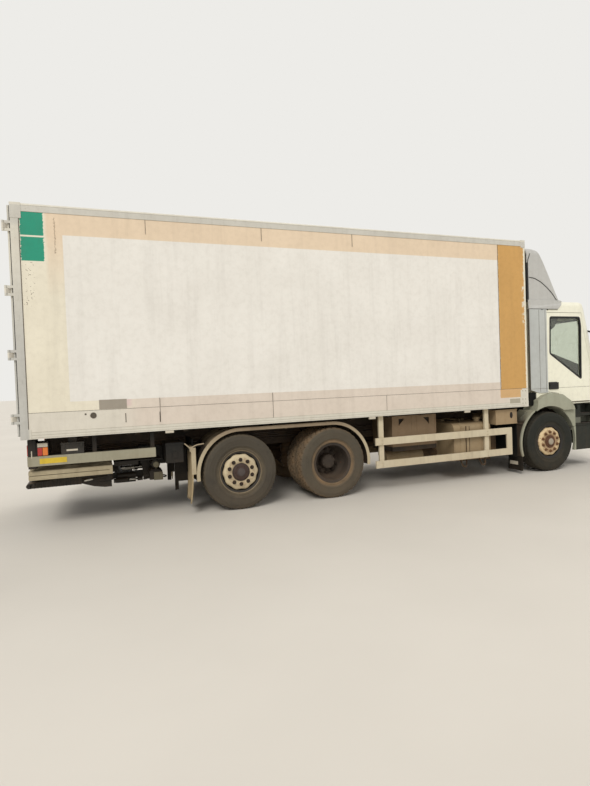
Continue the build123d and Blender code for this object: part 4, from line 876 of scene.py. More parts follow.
# Side guards, tanks and lockers under the box.
# Folded steel rails on posts, an aluminium tank in rubber-lined straps, a moulded battery locker with
# finger recesses, and a small locker with a dark slot for the mains lead.
guard_cream = finish("side_guard_enamel", (0.81, 0.77, 0.67), rough=0.55, second=(0.77, 0.71, 0.59), dust=0.3,
                     dust_top=1.2, streaks=0.25, chips=0.25, grain=0.2)
dress(guard_cream, "side_guards")
mesh = bmesh.new()
bolts(mesh, (-1.37, -3.37), 1.250, (0.40, 0.45, 0.75, 0.80), 0.011, 0.008)
bolts(mesh, (-1.37, -3.37), 1.2245, (1.10, 1.14), 0.009, 0.007)
for z in (0.425, 0.775):
    pair(mesh, (-3.484, -3.476, 1.222, 1.2525, z - 0.057, z + 0.057))
piece("guard_bolts", mesh, guard_cream, "chassis")


def pipe_pair(mesh, points, radius, sides=8):
    """The same pipe on both sides of the truck."""
    for side in (-1, 1):
        pipe(mesh, [(x, side * y, z) for x, y, z in points], radius, sides)


def ahead_of(tree, parts, x):
    """1 ahead of a place along the truck and 0 behind it, measured from the middle of the truck."""
    return rise(tree, parts.outputs["X"], x, x + 0.01)


def tank_livery_and_end_shade(tree, place, parts):
    """Dull alloy on the fuel tanks. Behind their rear end it is dark: painted shade on the end face, and dark
    dusty steel on the air tanks behind it.
    """
    # The dark colour behind the line is painted shade on the fuel tank's rear end face, carried over the air
    # tanks behind it.
    return over(tree, ahead_of(tree, parts, -2.16), srgb(0.20, 0.18, 0.15), srgb(0.61, 0.545, 0.43))


tank_alloy = finish("tank_alloy", (0.60, 0.54, 0.43), rough=0.6, metal=0.15, second=(0.66, 0.57, 0.43),
                    dust=0.45, dust_top=1.2, streaks=0.4, chips=0.12, grain=0.4, grain_size=24.0,
                    livery=tank_livery_and_end_shade)
dress(tank_alloy, "tanks")
filler_x, filler_y = -1.41, 1.02
air_tank_y, air_tank_z = 0.70, 0.43
mesh = bmesh.new()
for x in (-1.827, -1.413):
    for z in (0.42, 0.88):
        pair(mesh, (x - 0.022, x + 0.022, 1.172, 1.190, z - 0.010, z + 0.010))
        for side in (-1, 1):
            bolt(mesh, (x, side * 1.180, z + 0.010), (0, 0, 1), 0.009, 0.012)
spun_pair(mesh, (filler_x, filler_y, 0.99), (0, 0, 1),
          [(0.052, 0.0), (0.058, 0.005), (0.058, 0.030), (0.050, 0.038), (0.020, 0.040), (0.0, 0.040)], 20)
for step in range(8):
    turn = 2 * math.pi * step / 8
    x = filler_x + 0.056 * math.cos(turn)
    y = filler_y + 0.056 * math.sin(turn)
    pair(mesh, (x - 0.006, x + 0.006, y - 0.006, y + 0.006, 0.997, 1.018))
pipe_pair(mesh, [(-1.62, 0.85, 0.94), (-1.62, 0.85, 0.99), (-1.55, 0.70, 1.0), (-1.50, 0.46, 0.96)], 0.010)
pipe_pair(mesh, [(-1.70, 0.82, 0.94), (-1.70, 0.82, 0.98), (-1.75, 0.66, 1.0), (-1.80, 0.46, 0.97)], 0.008)
for x in (-3.035, -2.365):
    spun_pair(mesh, (x - 0.004, air_tank_y, air_tank_z), (1, 0, 0),
              [(0.1265, 0.0), (0.1275, 0.003), (0.1275, 0.007), (0.1265, 0.010)], 40)
spun_pair(mesh, (-2.70, air_tank_y, 0.302), (0, 0, -1),
          [(0.018, -0.01), (0.018, 0.012), (0.010, 0.016), (0.010, 0.03), (0.0, 0.03)], 12)
pair(mesh, (-1.745, -1.695, 1.171, 1.1815, 0.43, 0.90), (-1.405, -1.20, 0.965, 0.975, 0.42, 0.86),
     (-1.405, -1.20, 0.965, 1.01, 0.42, 0.43))
piece("tank_fittings", mesh, tank_alloy, "chassis", bevel=0.0015)
mesh = bmesh.new()
pair(mesh, (-1.758, -1.746, 1.171, 1.180, 0.43, 0.90), (-1.694, -1.682, 1.171, 1.180, 0.43, 0.90),
     (-2.05, -1.12, 0.86, 1.16, 0.355, 0.395), (-1.14, -0.96, 0.952, 0.968, 0.37, 0.68),
     (-2.46, -1.86, 0.495, 0.507, 0.28, 0.62))
for x in (-1.80, -1.42):
    pipe_pair(mesh, [(x - 0.06, 1.12, 0.42), (x - 0.03, 1.14, 0.30), (x + 0.01, 1.14, 0.225),
                     (x + 0.07, 1.14, 0.225), (x + 0.09, 1.12, 0.38)], 0.013)
pipe_pair(mesh, [(-2.06, 0.98, 0.34), (-1.75, 1.05, 0.325), (-1.45, 1.05, 0.335), (-1.12, 0.98, 0.30)], 0.02)
pipe_pair(mesh, [(-2.50, 0.62, 0.46), (-2.10, 0.64, 0.44), (-1.84, 0.66, 0.44)], 0.058, 16)
piece("tank_cradle", mesh, running_gear, "chassis", bevel=0.0015)


def locker_livery_and_foot_shade(tree, place, parts):
    """Black steel at the tail, brown plastic for the batteries with a black band along its foot that is
    painted shade of the gap under it, pale tan on the mains locker."""
    # Below 0.648 m the battery locker is painted black as shade of the gap under it.
    plastic = over(tree, rise(tree, parts.outputs["Z"], 0.648, 0.652), srgb(0.12, 0.11, 0.095),
                   srgb(0.49, 0.41, 0.315))
    tone = over(tree, ahead_of(tree, parts, -1.01), srgb(0.12, 0.13, 0.125), plastic)
    return over(tree, ahead_of(tree, parts, 2.2), tone, srgb(0.62, 0.535, 0.415))


locker_brown = finish("locker_plastic", (0.47, 0.385, 0.29), rough=0.75, second=(0.50, 0.415, 0.31),
                      dust=0.35, dust_top=1.3, streaks=0.3, grain=0.3, grain_size=150.0, livery=locker_livery_and_foot_shade)
dress(locker_brown, "side_boxes")
mesh = bmesh.new()
pair(mesh, (-3.105, -2.285, 1.04, 1.108, 1.118, 1.136), (-3.105, -3.085, 1.098, 1.106, 0.585, 1.12),
     (-2.305, -2.285, 1.098, 1.106, 0.585, 1.12), (-3.09, -2.30, 1.098, 1.1055, 0.585, 0.61),
     (-2.748, -2.732, 1.098, 1.1035, 0.62, 1.11), (-2.648, -2.632, 1.098, 1.1035, 0.62, 1.11),
     (-1.168, -0.722, 1.196, 1.2225, 0.892, 1.128), (-1.174, -0.716, 1.20, 1.226, 1.118, 1.134),
     (-1.174, -0.716, 1.205, 1.226, 0.886, 0.90), (-0.98, -0.965, 1.22, 1.2245, 0.90, 1.12))
bolts(mesh, (-1.15, -0.74), 1.220, (0.92, 1.10), 0.008, 0.006)
plate(mesh, -7.866, -7.594, -1.222, -1.04, 1.075, 1.095)
for x in (-7.83, -7.63):
    plate(mesh, x - 0.012, x + 0.012, -1.224, -1.212, 1.03, 1.08)
piece("locker_edges", mesh, locker_brown, "chassis", bevel=0.003)
mesh = bmesh.new()
for side in (-1, 1):
    for x, reach in ((-2.98, 0.11), (-2.41, -0.11)):
        for y in (1.0705, 1.0725):
            mesh.faces.new([mesh.verts.new((corner_x, side * y, corner_z))
                            for corner_x, corner_z in ((x, 1.09), (x + reach, 1.09), (x, 0.98))])
    bmesh.ops.create_cone(mesh, cap_ends=True, segments=24, radius1=0.5, radius2=0.5, depth=1.0,
                          matrix=Matrix.Translation((-0.845, side * 1.2245, 1.035))
                          @ Matrix.Rotation(math.radians(90), 4, "X")
                          @ Matrix.Diagonal((0.056, 0.105, 0.006, 1.0)))
locker_dark = finish("locker_shade", (0.09, 0.08, 0.07), rough=0.9, dust=0.3, grain=0.1)
piece("locker_recesses", mesh, locker_dark, "chassis")
mesh = bmesh.new()
plate(mesh, -7.80, -7.67, -1.2185, -1.214, 0.99, 1.012)
piece("blank_labels", mesh, pale_lens, "chassis", bevel=0.001)


# Mudguards and flaps.
# One rolled sheet over both rear axles a side with a wide flange, moulded plastic behind the front
# wheels, and rubber flaps that hang from steel bars.
def guard_livery(tree, place, parts):
    """Bare dusty beige over the rear axles, grey-green at the cab, black road dirt on the inner face."""
    at_cab = ahead_of(tree, parts, 2.2)
    high = rise(tree, parts.outputs["Z"], 0.75, 1.08)
    rolled = over(tree, high, srgb(0.73, 0.685, 0.575), srgb(0.575, 0.515, 0.425))
    tone = over(tree, at_cab, rolled, srgb(0.61, 0.62, 0.55))
    low = rise(tree, parts.outputs["Z"], 1.02, 0.90)
    inner = both(tree, rise(tree, off_middle(tree, place), 1.225, 1.205), low)
    return over(tree, inner, tone, srgb(0.11, 0.105, 0.095))


guard_sheet = finish("mudguard_sheet", (0.58, 0.555, 0.46), rough=0.65, second=(0.56, 0.52, 0.43), dust=0.35,
                     dust_top=1.3, streaks=0.35, chips=0.15, grain=0.25, livery=guard_livery)
dress(guard_sheet, "mudguards")


def band(mesh, inner, outer, y0, y1, loop=False):
    """A strip between two matching paths of (x, z) points, from y0 to y1."""
    rows = [[mesh.verts.new((x, y, z)) for x, z in path]
            for path, y in ((inner, y0), (outer, y0), (outer, y1), (inner, y1))]
    for row, beside in zip(rows, rows[1:] + rows[:1]):
        bridge(mesh, row, beside, loop)
    if not loop:
        for end in (0, -1):
            mesh.faces.new([row[end] for row in rows])


def rear_arch(radius):
    """The path over both rear wheels from the tail end to the front end."""
    low = math.asin((0.452 - hub_z) / radius)
    turns = [low + (math.pi / 2 - low) * step / 16 for step in range(17)]
    tail = [(tag_x - radius * math.cos(a), hub_z + radius * math.sin(a)) for a in turns]
    return tail + [(drive_x + radius * math.cos(a), hub_z + radius * math.sin(a)) for a in turns[::-1]]


def front_arch(radius):
    """The path of the moulding behind a front wheel."""
    turns = [math.radians(122 + step * 5.1) for step in range(16)]
    return [(radius * math.cos(a), hub_z + radius * math.sin(a)) for a in turns]


mesh = bmesh.new()
for side in (-1, 1):
    for arch, inner, outer, y0, y1 in ((rear_arch, 0.566, 0.6065, 1.2505, 1.244),
                                       (rear_arch, 0.6045, 0.613, 1.2505, 1.226),
                                       (rear_arch, 0.590, 0.6065, 0.598, 0.606),
                                       (rear_arch, 0.604, 0.6095, 0.78, 0.82),
                                       (rear_arch, 0.604, 0.6095, 1.00, 1.04),
                                       (front_arch, 0.640, 0.6685, 1.2505, 1.243),
                                       (front_arch, 0.666, 0.674, 1.2505, 1.222),
                                       (front_arch, 0.666, 0.671, 1.06, 1.10)):
        band(mesh, arch(inner), arch(outer), side * y0, side * y1)
    for x, z in ((-6.1, 0.845), (-5.0, 1.127), (-4.8, 1.127), (-3.70, 0.86)):
        bolt(mesh, (x, side * 1.15, z), (0, 0, 1), 0.012, 0.010)
pair(mesh, (-6.292, -6.270, 0.65, 1.24, 0.86, 0.925))
piece("mudguard_flanges", mesh, guard_sheet, "chassis", bevel=0.002)

flap_rubber = finish("flap_rubber", (0.72, 0.65, 0.51), rough=0.85, second=(0.58, 0.51, 0.38), dust=0.3,
                     dust_top=1.4, streaks=0.4, grain=0.3)
front_flap = finish("front_flap_rubber", (0.075, 0.08, 0.075), rough=0.8, dust=0.1, dust_top=0.5,
                    streaks=0.05, grain=0.25, shine=0.2)


def flap_sheet(x, side, y0, y1, z0, z1, lean, folded):
    """A hanging rubber sheet that curls back towards its foot, one corner folded a little."""
    mesh = bmesh.new()
    rows = []
    for up in range(15):
        share = up / 14
        row = []
        for along in range(9):
            reach = along / 8
            curl = lean * share ** 2 * (0.6 + 0.4 * math.cos(reach * 5 + 1)) + 0.006 * math.sin(reach * 9)
            if folded:
                curl += 0.05 * max(0.0, share - 0.7) * max(0.0, reach - 0.5)
            row.append(mesh.verts.new((x - curl * share, side * (y0 + (y1 - y0) * reach),
                                       z1 + (z0 - z1) * share)))
        rows.append(row)
    for row, under in zip(rows, rows[1:]):
        bridge(mesh, row, under, False)
    return mesh


for side_name, side in hands:
    for place, x, y0, y1, z0, z1, lean, cover in (
            ("rear", -6.254, 0.80, 1.245, 0.160, 0.925, 0.035, flap_rubber),
            ("front", -0.634, 0.91, 1.248, 0.062, 0.312, 0.012, front_flap)):
        mesh = flap_sheet(x, side, y0, y1, z0, z1, lean, place == "rear")
        made = piece(f"{place}_flap_{side_name}", mesh, cover, "chassis", smooth=True)
        thick = made.modifiers.new("thickness", "SOLIDIFY")
        thick.thickness = 0.009
        thick.offset = 0.0
        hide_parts("mud_flaps")
mesh = bmesh.new()
pair(mesh, (-0.652, -0.643, 0.96, 1.14, 0.155, 0.215))
piece("flap_blank_plates", mesh, pale_lens, "chassis", bevel=0.001)
mesh = bmesh.new()
pipe_pair(mesh, [(-6.285, 1.235, 0.905), (-6.20, 1.235, 0.945), (-6.10, 1.235, 0.955)], 0.009)
pipe_pair(mesh, [(-6.36, 1.235, 0.975), (-6.285, 1.235, 0.905), (-6.255, 1.235, 0.80)], 0.009)
pair(mesh, (-6.262, -6.250, 1.15, 1.246, 0.80, 0.93), (-6.275, -6.215, 1.238, 1.2455, 0.55, 0.91))
piece("mudguard_stays", mesh, guard_sheet, "chassis", bevel=0.002)
# Black sheets behind the rear and front flaps that stand in for the shade there: painted shade, not a real
# part.
mesh = bmesh.new()
pair(mesh, (-6.245, -6.237, 0.60, 1.19, 0.50, 1.02), (-0.700, -0.690, 0.62, 1.18, 0.30, 0.95))
piece("shade_sheets_behind_flaps", mesh, front_flap, "chassis", bevel=0.002)
mesh = bmesh.new()
pair(mesh, (-0.345, -0.190, 1.08, 1.135, 1.165, 1.39))
piece("cab_corner_blocks", mesh, front_flap, "cab", bevel=0.002)


# Tail lift.
# Slides out under the tail on bolted shoes: black arms with plated cylinder rods, a pump with its
# valves, a folded alloy platform, and a black ribbed wedge that opens to the ground.
lift_black = finish("lift_enamel", (0.085, 0.088, 0.085), rough=0.45, second=(0.13, 0.125, 0.11), dust=0.18,
                    dust_top=1.0, streaks=0.08, chips=0.2, grain=0.2, shine=0.3)
dress(lift_black, "lift_rails", "lift_carriage", "lift_arms")


def platform_livery(tree, place, parts):
    """Dull alloy deck over the black wedge and forks."""
    return over(tree, rise(tree, parts.outputs["Z"], 0.642, 0.648), srgb(0.09, 0.09, 0.09),
                srgb(0.70, 0.655, 0.545))


platform_alloy = finish("platform_alloy", (0.70, 0.655, 0.545), rough=0.6, metal=0.1, dust=0.35, dust_top=0.9,
                        streaks=0.3, chips=0.12, grain=0.25, livery=platform_livery)
dress(platform_alloy, "lift_platform")


def round_bar(radius, length, crown=0.001):
    """The rings of a plain round bar, its far end crowned a little."""
    return [(0.0, 0.0), (radius, 0.0), (radius, length), (0.0, length + crown)]


rib_pitch = 0.0415
cheek_foot = [(-7.665, 0.535), (-7.50, 0.478), (-7.37, 0.456), (-7.285, 0.456)]
cheek_head = [(-7.665, 0.646), (-7.50, 0.646), (-7.37, 0.646), (-7.285, 0.60)]
mesh = bmesh.new()
for step in range(15):
    x = -8.25 + step * rib_pitch
    plate(mesh, x, x + 0.018, -1.012, 1.012, 0.528, 0.590 + (x + 8.26) * 0.10)
for y in (-0.95, -0.5, 0.0, 0.5, 0.95):
    plate(mesh, -8.262, -7.665, y - 0.02, y + 0.02, 0.522, 0.534)
spun(mesh, (-8.262, -1.012, 0.558), (0, 1, 0),
     [(0.0, 0.0), (0.028, 0.0), (0.032, 0.004), (0.032, 2.02), (0.028, 2.024), (0.0, 2.024)], 16)
plate(mesh, -7.66, -7.41, -0.96, 0.96, 0.585, 0.646)
for side in (-1, 1):
    band(mesh, cheek_foot, cheek_head, side * 0.90, side * 0.975)
pair(mesh, (-7.42, -7.29, 0.48, 0.90, 0.450, 0.476), (-7.45, -7.30, 0.975, 0.992, 0.500, 0.528))
bolts(mesh, (-7.55, -7.46, -7.36), 0.975, (0.60,), 0.012, 0.009)
spun_pair(mesh, (-7.64, 0.965, 0.572), (1, 0, 0.06), round_bar(0.026, 0.30, 0.002), 16)
piece("wedge_ribs", mesh, lift_black, "lift_platform", bevel=0.002)

flute_pitch = 0.0611
mesh = bmesh.new()
for z0, z1 in ((0.650, 0.700), (0.709, 0.760)):
    middle = (z0 + z1) / 2
    pair(mesh, (-8.243, -7.272, 1.148, 1.153, z0 + 0.004, z1 - 0.004),
         (-8.243, -7.272, 1.150, 1.1555, middle - 0.006, middle + 0.006))
for step in range(38):
    y = -1.13 + step * flute_pitch
    plate(mesh, -8.2435, -7.275, y - 0.0045, y + 0.0045, 0.7595, 0.7635)
    plate(mesh, -8.2435, -8.2395, y - 0.003, y + 0.003, 0.655, 0.755)
piece("platform_flutes", mesh, platform_alloy, "lift_platform", bevel=0.001)

plated = finish("plated_rod", (0.78, 0.77, 0.74), rough=0.18, metal=0.9, dust=0.12, grain=0.03)
outer_rod_y, outer_rod_z = 0.505, 0.445
mesh = bmesh.new()
for y in (-0.28, 0.28):
    spun(mesh, (-6.93, y, 0.5), (1, 0, 0), [(0.0167, -0.03), (0.0167, 0.12)], 20)
    spun(mesh, (-7.155, y, 0.5), (1, 0, 0),
         [(0.0, -0.002), (0.034, -0.002), (0.034, 0.02), (0.0335, 0.022), (0.0335, 0.21), (0.037, 0.212),
          (0.037, 0.236), (0.0, 0.238)], 24)
spun_pair(mesh, (-7.07, outer_rod_y, outer_rod_z), (1, 0, 0), round_bar(0.014, 0.15), 20)
piece("lift_cylinder_rods", mesh, plated, "lift_arms", smooth=True)
mesh = bmesh.new()
pair(mesh, (-7.22, -6.95, 0.372, 0.428, 0.395, 0.47))
spun_pair(mesh, (-6.94, 0.46, 0.50), (-1, 0, 0), round_bar(0.038, 0.26, 0.002), 20)
spun_pair(mesh, (-7.06, outer_rod_y, outer_rod_z), (-1, 0, 0),
          [(0.0, 0.0), (0.028, 0.0), (0.030, 0.004), (0.030, 0.19), (0.0, 0.192)], 20)
spun_pair(mesh, (-6.93, outer_rod_y, outer_rod_z), (1, 0, 0), round_bar(0.026, 0.07), 20)
piece("lift_arm_webs", mesh, lift_black, "lift_arms", bevel=0.003)
mesh = bmesh.new()
spun_pair(mesh, (-7.625, 0.992, 0.566), (1, 0, 0.10), round_bar(0.014, 0.11), 16)
piece("wedge_pins", mesh, plated, "lift_platform", smooth=True)

mesh = bmesh.new()
bolts(mesh, (-6.82, -6.75, -6.68), 0.5675, (0.60,), 0.012, 0.010)
bolts(mesh, (-6.82, -6.75, -6.68), 0.5475, (0.90,), 0.010, 0.008)
spun_pair(mesh, (-6.75, 0.552, 0.5), (0, 1, 0),
          [(0.036, 0.0), (0.036, 0.010), (0.030, 0.016), (0.0, 0.016)], 20)
plate(mesh, -6.79, -6.62, -0.86, -0.60, 0.47, 0.59)
plate(mesh, -6.78, -6.66, -0.84, -0.62, 0.59, 0.605)
spun(mesh, (-6.70, -0.60, 0.675), (0, -1, 0),
     [(0.0, 0.0), (0.058, 0.0), (0.062, 0.006), (0.062, 0.19), (0.056, 0.20), (0.030, 0.204),
      (0.0, 0.204)], 24)
for y in (-0.83, -0.77, -0.71, -0.65):
    spun(mesh, (-6.70, y, 0.60), (0, 0, 1),
         [(0.018, 0.0), (0.018, 0.03), (0.010, 0.034), (0.010, 0.05), (0.0, 0.05)], 12)
pipe(mesh, [(-6.62, -0.80, 0.52), (-6.56, -0.80, 0.50), (-6.56, -0.66, 0.46), (-6.62, -0.58, 0.46),
            (-6.72, -0.575, 0.50)], 0.009)
pipe(mesh, [(-6.79, -0.80, 0.54), (-6.86, -0.80, 0.52), (-6.86, -0.70, 0.46), (-6.80, -0.58, 0.45)], 0.009)
plate(mesh, -7.24, -6.93, -0.80, 0.80, 0.69, 0.75)
plate(mesh, -7.31, -6.93, -0.80, 0.80, 0.774, 0.782)
pair(mesh, (-6.93, -6.62, 0.58, 0.80, 0.735, 0.75), (-7.244, -7.238, 0.68, 0.72, 0.70, 0.74),
     (-7.244, -7.238, 0.18, 0.22, 0.70, 0.74))
piece("lift_pump", mesh, lift_black, "lift_carriage", bevel=0.002)
casting = finish("pump_casting", (0.40, 0.395, 0.33), rough=0.5, metal=0.3, second=(0.48, 0.46, 0.37),
                 dust=0.35, streaks=0.3, grain=0.4)
mesh = bmesh.new()
plate(mesh, -6.735, -6.615, -0.874, -0.855, 0.462, 0.572)
for x in (-6.72, -6.675, -6.63):
    plate(mesh, x - 0.008, x + 0.008, -0.880, -0.872, 0.472, 0.562)
spun(mesh, (-6.70, -0.875, 0.675), (0, -1, 0),
     [(0.040, -0.08), (0.040, 0.004), (0.030, 0.008), (0.0, 0.008)], 20)
piece("pump_cover", mesh, casting, "lift_carriage", bevel=0.002)
mesh = bmesh.new()
pair(mesh, (-6.40, -6.345, 0.425, 0.437, 0.215, 0.80), (-6.40, -6.388, 0.425, 0.475, 0.215, 0.80),
     (-6.385, -6.195, 0.44, 0.452, 0.34, 0.80), (-6.66, -6.38, 0.437, 0.449, 0.625, 0.80),
     (-6.59, -6.36, 0.70, 1.12, 0.715, 0.985), (-6.60, -6.35, 0.69, 1.13, 0.955, 0.975),
     (-6.50, -6.44, 1.12, 1.132, 0.78, 0.86))
bolts(mesh, (-6.37,), 0.437, (0.26, 0.55, 0.70), 0.010, 0.008)
piece("lift_stop_brackets", mesh, lift_black, "chassis")


# Light beam, lamp clusters and reflectors at the tail.
# A steel beam across the tail with a rail along each side on black posts, lamp clusters with moulded
# lenses in three colours, and a yellow reflective strip.
def beam_livery(tree, place, parts):
    """Dusty pale paint on the beam and rails, black on the posts."""
    return over(tree, rise(tree, parts.outputs["Z"], 0.9495, 0.9515), srgb(0.63, 0.62, 0.545),
                srgb(0.085, 0.085, 0.08))


beam_paint = finish("light_beam_enamel", (0.66, 0.63, 0.55), rough=0.55, second=(0.58, 0.54, 0.45), dust=0.4,
                    dust_top=1.2, streaks=0.3, chips=0.15, grain=0.2, livery=beam_livery, shine=0.3)
dress(beam_paint, "light_beam")
yellow = finish("reflector_yellow", (0.86, 0.74, 0.16), rough=0.35, dust=0.3, streaks=0.25, chips=0.15,
                chip_colour=(0.55, 0.50, 0.38), grain=0.03, gloss=0.3)
mesh = bmesh.new()
pair(mesh, (-8.105, -7.80, 1.2145, 1.2168, 0.856, 0.922))
piece("yellow_reflectors", mesh, yellow, "chassis", bevel=0.001)
housing = finish("lamp_housing", (0.10, 0.10, 0.10), rough=0.55, shine=0.3, dust=0.2, streaks=0.1, grain=0.2)
red = finish("red_lens", (0.70, 0.10, 0.07), rough=0.2, dust=0.25, streaks=0.1, grain=0.03, gloss=0.6)
cell_y, cell_pitch, cell_wide = 0.942, 0.0535, 0.050
mesh = bmesh.new()
cells = {"red": bmesh.new(), "amber": bmesh.new(), "pale": bmesh.new()}
pair(mesh, (-8.232, -8.142, 0.932, 1.213, 0.80, 1.155), (-8.142, -8.000, 0.932, 1.205, 0.951, 1.115))
for number, tint in enumerate(("red", "amber", "red", "pale", "red")):
    y = cell_y + number * cell_pitch
    pair(cells[tint], (-8.2405, -8.228, y, y + cell_wide, 0.958, 1.092))
pair(cells["red"], (-8.124, -8.072, 1.202, 1.2115, 0.956, 1.055), (-8.246, -8.238, 0.70, 0.80, 0.86, 0.92))
pair(cells["amber"], (-8.068, -8.010, 1.202, 1.2115, 0.956, 1.055))
pair(cells["pale"], (-8.124, -8.010, 1.202, 1.2115, 1.061, 1.108),
     (-8.196, -8.184, 1.211, 1.2155, 0.93, 1.02))
plate(mesh, -8.246, -8.238, -0.27, 0.27, 0.84, 0.945)
made = piece("rear_lamp_housings", mesh, housing, "chassis", bevel=0.004)
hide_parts("lamps")
for tint, material in (("red", red), ("amber", amber), ("pale", pale_lens)):
    piece(f"rear_lenses_{tint}", cells[tint], material, "chassis", bevel=0.004)
mesh = bmesh.new()
plate(mesh, -8.250, -8.246, -0.26, 0.26, 0.848, 0.938)
piece("blank_number_plate", mesh, pale_lens, "chassis", bevel=0.002)
bowls = bmesh.new()
covers = bmesh.new()
pair(bowls, (1.268, 1.29, 0.705, 1.035, 0.605, 0.835))
for y, radius in ((0.79, 0.075), (0.94, 0.085)):
    spun_pair(bowls, (1.288, y, 0.72), (1, 0, 0),
              [(0.0, 0.006), (0.020, 0.008), (0.024, 0.020), (radius * 0.6, 0.018), (radius, 0.055),
               (radius + 0.006, 0.055), (radius + 0.006, 0.0)], 28)
pair(covers, (1.352, 1.358, 0.706, 1.034, 0.606, 0.834))
reflector = finish("lamp_reflector", (0.85, 0.85, 0.84), rough=0.15, metal=0.95, dust=0.1, grain=0.02)
piece("head_lamp_bowls", bowls, reflector, "chassis", bevel=0.003)
clear_cover = finish("head_lamp_cover", (0.92, 0.94, 0.94), rough=0.08, dust=0.12, streaks=0.05, grain=0.01,
                     clear=0.95)
piece("head_lamp_covers", covers, clear_cover, "chassis", bevel=0.003)


# Cab shell, doors and fairings.
# Pressed steel in cream-white enamel, hung on plain gaps, with moulded fairings that close the space to the
# box and a roof deflector in three mouldings. The fairings and deflector are painted grey as shade on that
# enamel.
cab_enamel = finish("cab_enamel", (0.95, 0.945, 0.87), rough=0.32, second=(0.93, 0.92, 0.84), dust=0.2,
                    dust_top=1.6, streaks=0.08, chips=0.05, grain=0.03, gloss=0.4)


def fairing_shade_livery(tree, place, parts):
    """Cool grey side fairings under a roof deflector that has yellowed a little, both painted as shade:
    darker copies of the cab's enamel.
    """
    return over(tree, rise(tree, parts.outputs["Z"], 2.845, 2.855), srgb(0.735, 0.75, 0.74),
                srgb(0.75, 0.75, 0.735))


# Painted shade: the grey stands for the cab's own white finish in shade, darker than the doors' cream.
fairing_shaded_grey = finish("fairing_gelcoat_shaded", (0.75, 0.75, 0.745), rough=0.42, second=(0.72, 0.715, 0.71),
                      dust=0.12, dust_top=1.9, streaks=0.12, grain=0.05, gloss=0.15, livery=fairing_shade_livery)
plastic_grey = finish("moulded_grey_plastic", (0.62, 0.63, 0.56), rough=0.6, second=(0.62, 0.615, 0.54),
                      dust=0.3, dust_top=1.5, streaks=0.25, grain=0.2, grain_size=120.0)
arch_front_x = 4.125
grey_green = srgb(0.61, 0.62, 0.55)


def step_livery(tree, place, parts):
    """Grey-green beside the arch, and near-black steps with a paler ledge ahead of it."""
    ledge = both(tree, rise(tree, parts.outputs["Z"], 0.80, 0.81), rise(tree, parts.outputs["Z"], 0.91, 0.90))
    dark = over(tree, ledge, srgb(0.115, 0.135, 0.12), srgb(0.40, 0.41, 0.37))
    return over(tree, ahead_of(tree, parts, arch_front_x), grey_green, dark)


def bumper_livery(tree, place, parts):
    """Grey-green wing, dark lower side and cream-white nose panel."""
    dark = over(tree, ahead_of(tree, parts, arch_front_x), grey_green, srgb(0.115, 0.14, 0.125))
    nose = both(tree, ahead_of(tree, parts, 4.70), rise(tree, parts.outputs["Z"], 0.575, 0.58))
    return over(tree, nose, dark, srgb(0.92, 0.915, 0.86))


step_plastic = finish("step_plastic", (0.42, 0.44, 0.38), rough=0.65, second=(0.40, 0.41, 0.35), dust=0.1,
                      dust_top=1.3, streaks=0.1, grain=0.25, livery=step_livery, shine=0.3)
bumper_plastic = finish("bumper_plastic", (0.42, 0.44, 0.38), rough=0.6, second=(0.40, 0.41, 0.35), dust=0.1,
                        dust_top=1.1, streaks=0.1, grain=0.2, livery=bumper_livery, shine=0.3)
dress(cab_enamel, "cab_sides", "cab_rear_wall", "cab_roof", "cab_front", "cab_door_right", "cab_door_left")
dress(fairing_shaded_grey, "roof_deflector", "side_fairings")
dress(plastic_grey, "cab_mudguards")
dress(step_plastic, "entry_steps")
dress(bumper_plastic, "front_bumper")
card_trim = finish("door_card_vinyl", (0.20, 0.20, 0.17), rough=0.65, dust=0.1, streaks=0.0, grain=0.3,
                   grain_size=180.0)
trim_black = finish("trim_rubber", (0.07, 0.07, 0.07), rough=0.6, dust=0.2, streaks=0.05, grain=0.15)


def grown(points, distance):
    """A closed outline of (x, z) points moved outward all round."""
    count = len(points)
    area = sum(points[i][0] * points[(i + 1) % count][1] - points[(i + 1) % count][0] * points[i][1]
               for i in range(count))
    way = 1 if area > 0 else -1
    moved = []
    for i in range(count):
        before = Vector(points[i]) - Vector(points[i - 1])
        after = Vector(points[(i + 1) % count]) - Vector(points[i])
        one = Vector((before.y, -before.x)).normalized() * way
        other = Vector((after.y, -after.x)).normalized() * way
        middle = (one + other).normalized()
        moved.append(tuple(Vector(points[i]) + middle * distance / max(0.35, middle.dot(one))))
    return moved


def softened(points, cut):
    """An outline with each corner turned into a short curve."""
    corners = [Vector(point) for point in points]
    smooth = []
    for before, corner, after in zip(corners[-1:] + corners, corners, corners[1:] + corners[:1]):
        smooth += bend(before, corner, after, min(cut, 0.4 * (before - corner).length),
                       min(cut, 0.4 * (after - corner).length))
    return smooth


def prism(mesh, near, far):
    """A closed block between two matching outlines of points."""
    low = [mesh.verts.new(point) for point in near]
    high = [mesh.verts.new(point) for point in far]
    mesh.faces.new(low)
    mesh.faces.new(high[::-1])
    bridge(mesh, low, high)


